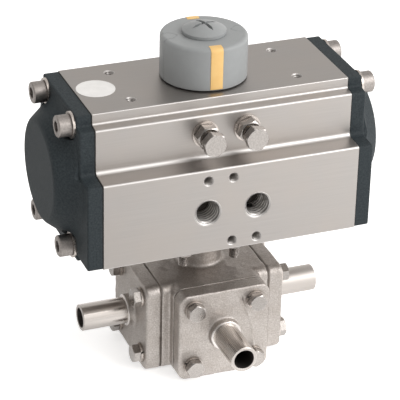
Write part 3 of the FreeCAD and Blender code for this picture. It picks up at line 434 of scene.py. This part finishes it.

# %% [markdown]
# ## Cold-formed stainless steel
# Screws, nuts and washers are pressed from wire and tumbled. Their skin is bright beside the castings,
# mottled at a scale below a millimetre, and mirrors enough to set one facet of a hexagon off from the
# next. The round cap screws are duller, and the stamped washers are the palest. One steel for all would
# be simpler, but they would melt together. Shade gathers where one piece meets the next, so a painted
# shade darkens the colour there by how much of the sky a point sees.

# %% Stainless steel for the fasteners
pressed = finish("cold_formed_stainless", ("#aaa5a1", "#beb9b5"), (0.18, 0.24), 0.7, 0.4, 0.001,
                 metallic=1.0, edge_mm=0.1, crease_mm=1.0)
tumbled = finish("tumbled_stainless", ("#a09a96", "#b6b0ac"), (0.42, 0.5), 0.9, 0.4, 0.0015,
                 metallic=1.0, edge_mm=0.25, crease_mm=1.0)
stamped = finish("stamped_stainless", ("#cbc3bc", "#dfd7d1"), (0.25, 0.33), 0.8, 0.4, 0.001,
                 metallic=1.0, edge_mm=0.12, crease_mm=0.8)
wear(pressed, "stop_nuts", "stop_screw_left", "stop_screw_right", "mounting_studs", "mounting_nuts",
     "flange_bolts", "stem_nut")
wear(tumbled, "cap_screws_left", "cap_screws_right")
wear(stamped, "cap_washers_left", "cap_washers_right", "stop_washers", "mounting_spring_washers",
     "flange_spring_washers")

# %% [markdown]
# ## Investment-cast stainless steel
# The valve's body and plates are cast in a ceramic shell, pickled and blasted. The skin is wavy over
# a few millimetres and pebbled below one, and pickling leaves it warmer and patchy. Only the bosses'
# outer rims are turned bright. They could be pieces of their own, but the distance from the middle line
# tells them apart.

# %% Cast stainless for body and plates
cast_names = ["valve_body", "plate_left", "plate_right", "plate_front", "plate_rear"]
machined_from = 37.35
patch_mm = 7
wave_mm = 3.5
pebble_mm = 0.7
pit_share = 0.55
cast_relief_mm = 0.04
cast_relief_share = 0.6


def cast_stainless():
    """Wavy, pebbled and patchy metal with painted shade where pieces meet, and the turned rims of the bosses
    brighter.
    """
    material, tree, shader, place, soft = start("cast_stainless", 0.3)
    patches = blotches(tree, place, patch_mm, detail=4.0)
    pebbles = blotches(tree, place, pebble_mm)
    waves = blotches(tree, place, wave_mm, detail=1.0)
    tint = add(tree, "Mix", {0: patches, 6: colour("#c7c1bc"), 7: colour("#d1ccc8")},
               data_type="RGBA").outputs[2]
    pits = add(tree, "Math", {0: pebbles, 1: pit_share}, operation="MULTIPLY").outputs[0]
    pitted = add(tree, "Mix", {0: pits, 6: tint, 7: colour("#968c84")}, data_type="RGBA").outputs[2]
    # Painted shade: the pitted colour darkens where another piece is near.
    speck = creased(tree, pitted, 1.0, 0.4)
    parts = add(tree, "SeparateXYZ", {0: place}).outputs
    across = [add(tree, "Math", {0: parts[axis]}, operation="ABSOLUTE").outputs[0] for axis in ("X", "Y")]
    reach = add(tree, "Math", {0: across[0], 1: across[1]}, operation="MAXIMUM").outputs[0]
    turned = add(tree, "Math", {0: reach, 1: machined_from * mm}, operation="GREATER_THAN").outputs[0]
    metal = add(tree, "Mix", {0: turned, 6: speck, 7: colour("#e2ddd9")}, data_type="RGBA").outputs[2]
    dull = blotches(tree, place, 4, 0.46, 0.54)
    rough = add(tree, "Mix", {0: turned, 2: dull, 3: 0.18}, data_type="FLOAT").outputs[0]
    relief = soft
    for height in (waves, pebbles):
        relief = add(tree, "Bump", {"Height": height, "Distance": cast_relief_mm * mm,
                                    "Strength": cast_relief_share, "Normal": relief}).outputs[0]
    dress(tree, shader, 1.0, metal, rough, relief)
    return material


wear(cast_stainless(), *cast_names)

# %% [markdown]
# ## Drawn tube
# The tube ends are turned from drawn tube and polished along their length. Fine lines run along the
# tube, so the noise is stretched that way, and the inside is given a darker, rougher colour. The
# right one has been blasted to a satin. The radius from the tube's middle line tells inside from outside.

# %% Polished and satin tube
tube_line_mm = 0.25
tube_line_length_mm = 125.0
tube_inside = 4.85
valve_height = 22.5


def drawn_tube(name, along, smooth, dull):
    """Polished tube: streaks along one axis, and a dark inside within the bore's radius."""
    material, tree, shader, place, soft = start(name, 0.1)
    squeeze = [1.0, 1.0, 1.0]
    squeeze[along] = tube_line_mm / tube_line_length_mm
    drawn = add(tree, "Mapping", {"Vector": place, "Scale": squeeze}).outputs[0]
    lines = blotches(tree, drawn, tube_line_mm)
    centre = [0.0, 0.0, -valve_height * mm]
    flat = [1.0, 1.0, 1.0]
    flat[along] = 0.0
    shifted = add(tree, "VectorMath", {0: place, 1: centre}, operation="ADD").outputs[0]
    across = add(tree, "VectorMath", {0: shifted, 1: flat}, operation="MULTIPLY").outputs[0]
    radius = add(tree, "VectorMath", {0: across}, operation="LENGTH").outputs["Value"]
    inside = add(tree, "Math", {0: radius, 1: tube_inside * mm}, operation="LESS_THAN").outputs[0]
    bright = add(tree, "Mix", {0: lines, 6: colour("#d0cac5"), 7: colour("#d5cfca")},
                 data_type="RGBA").outputs[2]
    metal = add(tree, "Mix", {0: inside, 6: bright, 7: colour("#6b6663")}, data_type="RGBA").outputs[2]
    polish = add(tree, "MapRange", {"Value": lines, "To Min": smooth, "To Max": dull}).outputs[0]
    rough = add(tree, "Mix", {0: inside, 2: polish, 3: 0.6}, data_type="FLOAT").outputs[0]
    relief = add(tree, "Bump", {"Height": lines, "Distance": 0.0006 * mm, "Normal": soft}).outputs[0]
    dress(tree, shader, 1.0, metal, rough, relief)
    return material


wear(drawn_tube("polished_tube_along_x", 0, 0.2, 0.26), "tube_end_left")
wear(drawn_tube("satin_tube_along_x", 0, 0.42, 0.5), "tube_end_right")
wear(drawn_tube("polished_tube_along_y", 1, 0.24, 0.3), "tube_end_front")

# %% [markdown]
# ## Indicator plastics
# The indicator is moulded ABS, coloured right through. A mould with a fine spark-eroded texture leaves
# it satin: a non-metal with an even colour, a faint grain and a broad soft highlight. Its walls are
# thick, so no light needs to shine through them.

# %% Plastics of the indicator
grey_abs = finish("grey_abs", ("#96999a", "#999c9d"), (0.4, 0.46), 5.0, 0.3, 0.006, edge_mm=0.3)
yellow_abs = finish("yellow_abs", ("#edc27b", "#f0c883"), (0.4, 0.46), 5.0, 0.3, 0.006, edge_mm=0.2)
black_abs = finish("black_abs", ("#1b1b1c", "#242425"), (0.45, 0.55), 2.0, 0.3, 0.01)
wear(grey_abs, "indicator_cap", "indicator_grey_marks", "indicator_screw")
wear(yellow_abs, "indicator_yellow_marks")
wear(black_abs, "indicator_base_ring")

# %% [markdown]
# ## Rubber, bearing plastics and inner metals
# These pieces hardly show, but the model can be opened, so each has the finish of its real material.

# %% The inner pieces
plate_sides = ["left", "right", "front", "rear"]
rubber = finish("nitrile_rubber", ("#191919", "#232323"), (0.55, 0.7), 2.0, 0.3, 0.02)
acetal = finish("natural_acetal", ("#d9d2bf", "#e3ddcc"), (0.35, 0.45), 3.0, 0.4, 0.01)
fluoropolymer = finish("filled_fluoropolymer", ("#d6d5d0", "#e6e5e1"), (0.4, 0.5), 1.5, 0.3, 0.01)
cast_aluminium = finish("cast_aluminium", ("#a9a9a8", "#c1c1c0"), (0.35, 0.5), 3.0, 0.6, 0.03, metallic=1.0)
nickel = finish("nickel_plated_steel", ("#aaa69c", "#c0bcb1"), (0.2, 0.32), 3.0, 0.4, 0.01, metallic=1.0)
turned_steel = finish("turned_stainless", ("#b9b4ae", "#cfcac5"), (0.18, 0.3), 2.0, 0.3, 0.01, metallic=1.0)
mirror_steel = finish("polished_stainless", ("#cdcac6", "#d8d5d2"), (0.04, 0.09), 4.0, 1.0, 0.002,
                      metallic=1.0)
wear(rubber, *["plate_gasket_" + side for side in plate_sides], "cap_gasket_left", "cap_gasket_right",
     "piston_seal_left", "piston_seal_right", "pinion_oring_lower", "pinion_oring_upper")
wear(acetal, "pinion_bearing_lower", "pinion_bearing_upper", "thrust_washer", "piston_band_left",
     "piston_band_right", "rack_shoe_left", "rack_shoe_right")
wear(fluoropolymer, "ball_seats", "stem_thrust_washer", "stem_packing")
wear(cast_aluminium, "piston_left", "piston_right")
wear(nickel, "pinion", "stop_cam")
wear(turned_steel, "retaining_ring", "stem", "stem_gland", "stem_disc_springs")
wear(mirror_steel, "ball")

# %% [markdown]
# ## Surfaces from grids
# Every new piece is a grid of points worked out with numpy, one row after another, and the grid's cells
# are its faces. Primitives would have to be cut and joined. Where a row shrinks to a point, as in the
# middle of a disc, its doubles are merged.

# %% Helpers for grids
merge_within = 0.001


def merge(mesh, turn_out=False):
    """Merge the points of a mesh that share a place, and turn its faces outwards if that is asked."""
    shape = bmesh.new()
    shape.from_mesh(mesh)
    bmesh.ops.remove_doubles(shape, verts=shape.verts, dist=merge_within * mm)
    if turn_out:
        bmesh.ops.recalc_face_normals(shape, faces=shape.faces)
    shape.to_mesh(mesh)
    shape.free()


def surface(name, grids, material, body):
    """A piece from grids of points (rows, columns, 3), in mm. Columns run round and close on themselves."""
    mesh = bpy.data.meshes.new(name)
    points = np.concatenate([grid.reshape(-1, 3) for grid in grids]) * mm
    faces = []
    first = 0
    for grid in grids:
        rows, columns = grid.shape[:2]
        index = first + np.arange(rows * columns).reshape(rows, columns)
        after = np.roll(index, -1, axis=1)
        cells = np.stack([index[:-1], after[:-1], after[1:], index[1:]], axis=-1)
        faces.append(cells.reshape(-1, 4))
        first += rows * columns
    mesh.from_pydata(points.tolist(), [], np.concatenate(faces).tolist())
    merge(mesh, turn_out=True)
    piece = placed(name, mesh)
    mesh.materials.append(material)
    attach(piece, body)
    print(name, "has", len(mesh.polygons), "faces")
    return piece


def full_turn(around):
    """The angles of one whole turn in equal steps."""
    return np.linspace(0, 2 * np.pi, around, endpoint=False)


def round_grid(radius, height, around):
    """Rows of radius and height, each a number or an array round the circle, as points about Z."""
    angle = full_turn(around)
    radius = np.stack([np.broadcast_to(value, around) for value in radius])
    height = np.stack([np.broadcast_to(value, around) for value in height])
    return np.stack([radius * np.cos(angle), radius * np.sin(angle), height], axis=-1)


def stood(grid, at, axis):
    """Points about Z moved so that their Z runs along an axis: "front" is -Y, "up" is +Z."""
    if axis == "front":
        grid = np.stack([grid[..., 0], -grid[..., 2], grid[..., 1]], axis=-1)
    return grid + np.array(at)


print("a disc of 3 rows:", round_grid([0, 1, 1], [0, 0, 1], 12).shape)

# %% [markdown]
# ## Threads
# A thread is a ridge that climbs by its pitch in one turn. A Screw modifier could wind one, but a formula
# serves rods, sleeves and parts of a turn alike. Seen as a height over the cylinder, the thread depends
# on one number only, the turns: height along the axis divided by the pitch, less the angle as a part of
# a turn. The ridge rises and falls evenly with the fraction of that number, as a triangle wave. In a
# bore, its root stays clear of the wall by a hundredth of a millimetre, so that no two skins coincide.

# %% Helpers for threads
rows_per_pitch = 8
clear = 0.01
fade_out = 0.3


def thread_rows(low, high, pitch):
    """The heights of a thread's rows, a few for each turn, as a column."""
    return np.linspace(low, high, int((high - low) / pitch * rows_per_pitch))[:, None]


def ridge(height, angle, pitch):
    """The thread's share of its depth: 1 on the crest, 0 in the root, as a triangle wave of the turns."""
    turns = height / pitch - angle / (2 * np.pi)
    return 2 * np.abs(turns % 1.0 - 0.5)


def threaded_rod(radius, depth, pitch, low, high, around=32):
    """A rod about Z, chamfered at its ends: the crest's radius less the depth times what the ridge lacks."""
    height = thread_rows(low, high, pitch)
    end = np.minimum(height - low, high - height)
    lack = 1 - ridge(height, full_turn(around), pitch)
    wave = np.minimum(radius - depth * lack, radius - depth + end)
    steps = [np.zeros(around), *wave, np.zeros(around)]
    return round_grid(steps, [low, *height[:, 0], high], around)


def threaded_sleeve(radius, depth, pitch, low, high, around):
    """A thin sleeve in a bore: inside, the radius less the ridge's depth; outside, the bore's wall."""
    height = thread_rows(low, high, pitch)
    end = np.clip((high - height) / fade_out, 0, 1)
    wave = radius - clear - depth * end * ridge(height, full_turn(around), pitch)
    steps = [*wave, np.full(around, radius), np.full(around, radius), wave[0]]
    return round_grid(steps, [*height[:, 0], high, low, low], around)


def threaded_arc(radius, depth, pitch, low, high, first, last, around=60):
    """A sleeve over a part of the turn only. Each row runs along the ridges and back along the wall."""
    height = thread_rows(low, high, pitch)
    angle = np.linspace(math.radians(first), math.radians(last), around)[None, :]
    wave = radius - clear - depth * ridge(height, angle, pitch)
    wave[[0, -1]] = radius - clear
    reach = np.concatenate([wave, np.full_like(wave, radius)], axis=1)
    turn = np.concatenate([angle, angle[:, ::-1]], axis=1)
    level = np.broadcast_to(height, reach.shape)
    return np.stack([reach * np.cos(turn), reach * np.sin(turn), level], axis=-1)


print("an M6 rod has", threaded_rod(2.95, 0.55, 1.0, 0, 30).shape[0], "rows")

# %% [markdown]
# ## Threads in the air ports
# The two air ports are G1/4 with 19 threads to the inch. Their solids are plain bores, so each gets a
# thin sleeve whose ridges catch the light. A bump in the material would be less work, but it leaves the
# bore's outline smooth. The real pitch of 1.34 mm is too fine to show, so it is drawn nearly a third
# coarser. The right port keeps a gap at its bottom, where its way down into the housing begins. A disc
# closes each drilled bottom. The colour follows the radius with painted light and shade: a painted
# highlight on a thread's crest, painted shade down to its root and on the bottom.

# %% Places and material of the ports
port_radius = 5.71
port_ridge = 0.6
port_pitch = 1.3 * 25.4 / 19
port_mouth = 0.6
port_depth = 11.4
port_face = -40.3
port_around = 64
left_port = (-12, port_face, 91.0)
right_port = (12, port_face, 91.0)
way_down_from = 8.3
way_down_gap = 0.05
way_down_sides = (-64, 244)
bottom_thickness = 0.1
housing_top = 140.1
housing = "valve_and_housing"


def tapped_port():
    """Tapped metal with painted light and shade by the radius: bright on a thread's crest, dark in its root
    and at the bottom.
    """
    material, tree, shader, place, _ = start("tapped_port")
    parts = add(tree, "SeparateXYZ", {0: place}).outputs
    side = add(tree, "Math", {0: parts["X"]}, operation="ABSOLUTE").outputs[0]
    across = add(tree, "Math", {0: side, 1: right_port[0] * mm}, operation="SUBTRACT").outputs[0]
    height = add(tree, "Math", {0: parts["Z"], 1: right_port[2] * mm}, operation="SUBTRACT").outputs[0]
    flat = add(tree, "CombineXYZ", {0: across, 1: height}).outputs[0]
    radius = add(tree, "VectorMath", {0: flat}, operation="LENGTH").outputs["Value"]
    crest = port_radius - port_ridge
    depth = add(tree, "MapRange", {"Value": radius, **between((crest * mm, port_radius * mm))}).outputs[0]
    # Painted highlight and shade: near white on the crests, dark in the roots.
    thread = add(tree, "Mix", {0: depth, 6: colour("#f2efec"), 7: colour("#4a4745")},
                 data_type="RGBA").outputs[2]
    # Painted shade: the bottom, inside the crests' radius, is dark.
    drilled = add(tree, "Math", {0: radius, 1: (crest - 0.1) * mm}, operation="LESS_THAN").outputs[0]
    tint = add(tree, "Mix", {0: drilled, 6: thread, 7: colour("#77726e")}, data_type="RGBA").outputs[2]
    dress(tree, shader, 1.0, tint, blotches(tree, place, 1.0, 0.3, 0.4))
    return material


port_metal = tapped_port()
print("port threads are", round(port_pitch, 2), "mm apart")

# %% Sleeves and bottoms of the ports
port_full = threaded_sleeve(port_radius, port_ridge, port_pitch, -port_depth, -port_mouth, port_around)
port_short = threaded_sleeve(port_radius, port_ridge, port_pitch, -way_down_from, -port_mouth, port_around)
port_rest = threaded_arc(port_radius, port_ridge, port_pitch, -port_depth, -way_down_from - way_down_gap,
                         *way_down_sides)
bottom = -port_depth - bottom_thickness * np.array([1, 1, 2, 2])
port_bottom = round_grid([0, port_radius, port_radius, 0], bottom, port_around)
port_pieces = [(port_full, left_port), (port_short, right_port), (port_rest, right_port),
               (port_bottom, left_port), (port_bottom, right_port)]
surface("port_threads", [stood(grid, place, "front") for grid, place in port_pieces], port_metal, housing)

# %% [markdown]
# ## Mouths of the air ports
# A ring narrows the chamfer at each port's mouth. The countersink is cut bright and sits a little low, so
# it is widest at the lower left, by the cosine of the angle from there. It could be a cone about a
# middle of its own, but then its upper edge would cut into the thread.

# %% Rims and countersinks
port_chamfer = 0.9
run_in_side = 222
run_in_depth = 0.6
run_in_spread = 0.7
mouth = port_radius + port_mouth
chamfer = port_radius + port_chamfer
rim = round_grid([chamfer - clear, mouth, port_radius + clear, port_radius + clear, chamfer - clear],
                 [-clear, -clear, -port_mouth, -port_chamfer + 2 * clear, -clear], port_around)
surface("port_rims", [stood(rim, place, "front") for place in (left_port, right_port)],
        nodes["actuator_housing"].data.materials[0], housing)
cut_bright = finish("countersunk_aluminium", ("#c6c3c0", "#d0cdca"), (0.2, 0.28), 1.0, 0.4, 0.001,
                    metallic=1.0, edge_mm=0.05)
turn_from_low = full_turn(port_around) - math.radians(run_in_side)
run_in = run_in_depth * np.clip(np.cos(turn_from_low), 0, 1) ** run_in_spread
inner = port_radius - clear - run_in
low = -port_mouth - run_in
cone = round_grid([mouth, inner, inner, mouth + clear, mouth],
                  [-2 * clear, low - 2 * clear, low - 3 * clear, -3 * clear, -2 * clear], port_around)
surface("port_countersinks", [stood(cone, place, "front") for place in (left_port, right_port)], cut_bright,
        housing)

# %% [markdown]
# ## Threads in the screw holes
# The small holes beside the ports and on top are M5, tapped at their real pitch. The sleeve is worked
# out once and stood in each of them.

# %% Threads of the side and top holes
hole_thread = threaded_sleeve(radius=2.09, depth=0.34, pitch=0.8, low=-7.4, high=-0.3, around=32)
side_places = [(-12, port_face, 107.0), (0, port_face, 107.0), (0, port_face, 75.0), (12, port_face, 75.0)]
top_places = [(x, y, housing_top) for x in (-40, 40) for y in (-15, 15)]
tapped = finish("tapped_aluminium", ("#b4b0ad", "#c9c5c2"), (0.3, 0.42), 1.0, 0.4, 0.004,
                metallic=1.0, edge_mm=0.02)
surface("side_hole_threads", [stood(hole_thread, place, "front") for place in side_places], tapped,
        housing)
surface("top_hole_threads", [stood(hole_thread, place, "up") for place in top_places], tapped,
        housing)

# %% [markdown]
# ## Stop screws
# The solids of the screws are smooth, and their threads show between head and nut. So a threaded rod
# with a head stands for each. A cylinder of six sides would do for a plain head, but not for one whose
# face is turned. So the hexagon is a circle whose radius depends on the angle: half the width across
# flats over the cosine of the angle from the middle of the nearest side. The face is turned by a flat
# cone of 30 degrees, so its edge dips at each corner by the corner's reach past the face's circle times
# the tangent of 30 degrees.

# %% The two stop screws
head_flats = 10.0
head_height = 4.0
head_around = 72
head_face = 5.0
head_cone = math.radians(30)
dog_radius = 2.2
dog_length = 1.5
screw_turn = {"left": -14, "right": -11}


def hexagon_head(flats, height, turn):
    """A hexagon head about Z with a chamfered, dished face and a corner at the angle of turn."""
    angle = full_turn(head_around) - math.radians(turn)
    side = flats / 2 / np.cos(angle % (np.pi / 3) - np.pi / 6)
    dip = np.clip(side - head_face, 0, None) * math.tan(head_cone)
    face = np.minimum(side - 0.1, head_face)
    return round_grid([0, side - 0.2, side, side, face, face - 0.4, 0],
                      [0, 0, 0.15, height - dip - 0.1, height, height - 0.05, height - 0.08], head_around)


def stop_screw(side):
    """The screw in place: its head's back is one head's height behind the solid's front."""
    name = "stop_screw_" + side
    low, high = np.array(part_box(name)) / mm
    length = high[1] - low[1] - head_height
    at = [(low[0] + high[0]) / 2, low[1] + head_height, (low[2] + high[2]) / 2]
    thread = threaded_rod(radius=2.97, depth=0.55, pitch=1.0, low=dog_length - length, high=0.3)
    dog = round_grid([0, dog_radius, dog_radius, 0],
                     [-length, -length, 2 * dog_length - length, 2 * dog_length - length], 32)
    head = hexagon_head(head_flats, head_height, screw_turn[side])
    piece = surface("threaded_" + name, [stood(grid, at, "front") for grid in (thread, dog, head)], pressed,
                    name)
    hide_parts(name)


for side in screw_turn:
    stop_screw(side)

# %% [markdown]
# ## Studs
# Four studs hold the actuator on the valve's pad, and their threads show below its edge. One rod serves
# all four.

# %% The four studs
stud_place = 12.73
stud_low, stud_high = [corner[2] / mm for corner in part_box("mounting_studs")]
stud = threaded_rod(radius=2.45, depth=0.4, pitch=0.8, low=stud_low, high=stud_high)
studs = surface("threaded_studs", [stood(stud, (x, y, 0), "up") for x in (-stud_place, stud_place)
                                   for y in (-stud_place, stud_place)], pressed, housing)
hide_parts("mounting_studs")

# %% [markdown]
# ## A round label
# A round label of bare white film sticks on the top face. A patch of colour on the housing would have no
# edge, so it is a disc a tenth of a millimetre thick, whose rounded rim catches the light.

# %% The label
label_radius = 8.9
label_place = (-51.3, 0.4, housing_top)
label_film = finish("white_vinyl_film", ("#e9e8e6", "#f0efed"), (0.3, 0.4), 4.0, 0.6, 0.002, edge_mm=0.05)
disc = round_grid([0, label_radius - 0.1, label_radius, label_radius, 0], [0.1, 0.1, 0.05, 0, 0], 72)
surface("round_label", [stood(disc, label_place, "up")], label_film, housing)

# %% [markdown]
# ## Cast skins
# A casting has no sharp edge: wax and ceramic round every corner by about a millimetre, and its faces
# wave by a tenth. The solids are sharp. A Bevel modifier stumbles over their small faces, so each cast
# solid is copied, merged and rebuilt from small voxels, all of one size. Smoothing then rounds it, in
# more rounds where the voxels are smaller.

# %% Remesh and smooth
skin_voxels_mm = {"plate_front": 0.36}
usual_voxel_mm = 0.56
rounding = 1.7


def points_of(mesh):
    """All points of a mesh as rows of three numbers."""
    points = np.empty(len(mesh.vertices) * 3)
    mesh.vertices.foreach_get("co", points)
    return points.reshape(-1, 3)


def finished(piece, kind, **settings):
    """Put one modifier on the piece, apply it and return its points."""
    modifier = piece.modifiers.new(kind, kind)
    for name, value in settings.items():
        setattr(modifier, name, value)
    tree = bpy.context.evaluated_depsgraph_get()
    mesh = bpy.data.meshes.new_from_object(piece.evaluated_get(tree))
    piece.modifiers.clear()
    piece.data = mesh
    return points_of(mesh)


print("the front plate is smoothed in", round(rounding / skin_voxels_mm["plate_front"] ** 2), "rounds")

# %% [markdown]
# ## Waves of the wax
# A Displace modifier could shake the skin with a noise, but its even grain looks like sand. Wax sags in
# long soft waves, so each point moves along its normal by a sum of sine waves of a few wavelengths. Two
# shares say how much of the rounding and of the waves each point gets: the bosses' turned rims and the
# seats of the bolts stay flat, and the edges along the gaskets stay nearly sharp, because these faces
# are machined after casting. One raised line, where the mould had a crack, winds down the front plate to
# the right of its tube.

# %% How far each point moves
wave_lengths_mm = (14.0, 9.0, 6.0, 4.0, 2.6)
wave_heights_mm = (0.05, 0.05, 0.045, 0.035, 0.025)
wave_directions = 3
rim_blend = 0.5
gasket_middle = 26.9
seam_width = 1.3
seam_share = 0.25
bolt_offset = 15.2
bolt_seat = 5.0
crack = np.array([(8.0, 39.5), (9.2, 36.1), (11.3, 31.3), (13.0, 27.2), (14.2, 23.1), (14.3, 18.1),
                  (15.0, 13.0), (16.2, 9.4)])
crack_height = 0.55
crack_half_width = 0.5
crack_behind = -34.0


def waves(points):
    """Half the sum over wavelengths of height times the sine of the place along random directions."""
    chance = np.random.default_rng(5)
    total = np.zeros(len(points))
    for length, height in zip(wave_lengths_mm, wave_heights_mm):
        for _ in range(wave_directions):
            direction = chance.normal(size=3)
            direction *= 2 * np.pi / (length * mm) / np.linalg.norm(direction)
            total += height * np.sin(points @ direction + chance.uniform(0, 2 * np.pi))
    return total * mm / 2


def crack_line(points):
    """A ridge on the front face that falls off with the distance from the crack's line, as a bell curve."""
    spot = points[:, [0, 2]] / mm
    best = np.full(len(spot), np.inf)
    for start_point, end_point in zip(crack[:-1], crack[1:]):
        run = end_point - start_point
        share = np.clip((spot - start_point) @ run / (run @ run), 0, 1)
        best = np.minimum(best, np.linalg.norm(spot - start_point - share[:, None] * run, axis=1))
    return crack_height * mm * np.exp(-(best / crack_half_width) ** 2) * (points[:, 1] < crack_behind * mm)


def skin_shares(points):
    """How much rounding and waves each point gets: little at the gaskets, and no waves at a bolt."""
    flat = np.abs(points[:, :2]) / mm
    reach = flat.max(axis=1)
    rims = np.clip((machined_from - reach) / rim_blend, 0, 1)
    seams = np.clip(np.abs(reach - gasket_middle) / seam_width, seam_share, 1)
    height = np.abs(points[:, 2] / mm - valve_height)
    seats = np.clip(np.hypot(flat.min(axis=1) - bolt_offset, height - bolt_offset) - bolt_seat, 0, 1)
    return (rims * seams)[:, None], (rims * seats)[:, None]


print("the wave at the origin is", round(float(waves(np.zeros((1, 3)))[0]) / mm, 3), "mm high")


# %% The cast skins
def cast_skin(name):
    """A rounded and wavy copy of a cast solid, kept inside that solid's box."""
    voxel = skin_voxels_mm.get(name, usual_voxel_mm)
    mesh = nodes[name].data.copy()
    merge(mesh)
    piece = placed("cast_" + name, mesh)
    sharp = finished(piece, "REMESH", mode="VOXEL", voxel_size=voxel * mm)
    soft = finished(piece, "SMOOTH", factor=0.5, iterations=round(rounding / voxel ** 2))
    normals = np.empty(len(soft) * 3)
    piece.data.vertices.foreach_get("normal", normals)
    rounded, waved = skin_shares(sharp)
    moved = sharp + (soft - sharp) * rounded + waves(soft)[:, None] * normals.reshape(-1, 3) * waved
    low, high = np.array(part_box(name))
    points = np.clip(moved, low, high)
    if name == "plate_front":
        points[:, 1] -= crack_line(soft)
    piece.data.vertices.foreach_set("co", points.ravel())
    piece.data.shade_smooth()
    piece.data.materials.clear()
    piece.data.materials.append(nodes[name].data.materials[0])
    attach(piece, housing)
    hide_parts(name)
    print(piece.name, "has", len(piece.data.polygons), "faces")


for name in cast_names:
    cast_skin(name)

# %% [markdown]
# ## Gaskets between body and plates
# Each plate bears on a sheet of pressed fibre, whose edge shows as a thin line and fills the groove
# between the rounded castings. A whole sheet with its bores could be cut, but its middle can't be seen. So
# a frame on a square with round corners is enough: each point of a corner is its centre plus its radius
# times the angle's cosine and sine.

# %% Gasket frames
gasket_half = 22.38
gasket_corner = 4.4
gasket_width = 3.0
gasket_faces = (26.6, 27.25)


def round_square(half, corner, steps=8):
    """Points round a square with round corners, each corner from its own quarter of the circle."""
    angle = np.linspace(0, np.pi / 2, steps)[None, :] + np.arange(4)[:, None] * np.pi / 2
    centre = (np.arange(4)[:, None] + 0.5) * np.pi / 2
    across = (half - corner) * np.sign(np.cos(centre)) + corner * np.cos(angle)
    height = (half - corner) * np.sign(np.sin(centre)) + corner * np.sin(angle)
    return across.ravel(), height.ravel()


def gasket_frame(quarter):
    """A frame whose rows are its inner and outer edges on both faces, turned by quarters about Z."""
    rows = []
    turn = quarter * np.pi / 2
    for inset, face in ((gasket_width, 0), (0, 0), (0, 1), (gasket_width, 1), (gasket_width, 0)):
        across, height = round_square(gasket_half - inset, gasket_corner - min(inset, gasket_corner - 1))
        reach = np.full_like(across, gasket_faces[face])
        rows.append(np.stack([reach * np.cos(turn) - across * np.sin(turn),
                              reach * np.sin(turn) + across * np.cos(turn), height + valve_height], axis=-1))
    return np.stack(rows)


fibre = finish("pressed_fibre", ("#665f59", "#786f68"), (0.6, 0.75), 1.0, 0.3, 0.01)
frames = surface("gasket_frames", [gasket_frame(quarter) for quarter in range(4)], fibre, housing)
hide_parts(*["plate_gasket_" + side for side in plate_sides])

# %% [markdown]
# ## Strips pressed into their slots
# The yellow strips are pressed into the indicator, so hardly a gap shows beside them. The solids keep
# two tenths of a millimetre on each side, and the real strips are a little slimmer. New ones could be
# drawn, but nearly all of the cap and the strips is right. So both are copied, and the points within
# reach of a slot's wall move in: the wall's points by more than the strip's, which nearly closes the gap.

# %% The strips and the cap
strip_turn = math.radians(-3.5)
strip_half = 3.15
wall_reach = 0.3


def moved_in(name, new_name, shift_mm):
    """A copy whose points near the strip's sides move towards its middle line, turned with the strip."""
    mesh = nodes[name].data.copy()
    merge(mesh)
    points = points_of(mesh)
    direction = np.array([math.cos(strip_turn), math.sin(strip_turn)])
    across = points[:, :2] @ direction
    near = np.abs(np.abs(across) / mm - strip_half) < wall_reach
    points[:, :2] -= (near * np.sign(across) * shift_mm * mm)[:, None] * direction
    mesh.vertices.foreach_set("co", points.ravel())
    piece = placed(new_name, mesh)
    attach(piece, "rotor")
    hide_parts(name)
    print(new_name, "moved", int(near.sum()), "points")


moved_in("indicator_yellow_marks", "pressed_in_strips", shift_mm=0.27)
moved_in("indicator_cap", "slotted_cap", shift_mm=0.43)
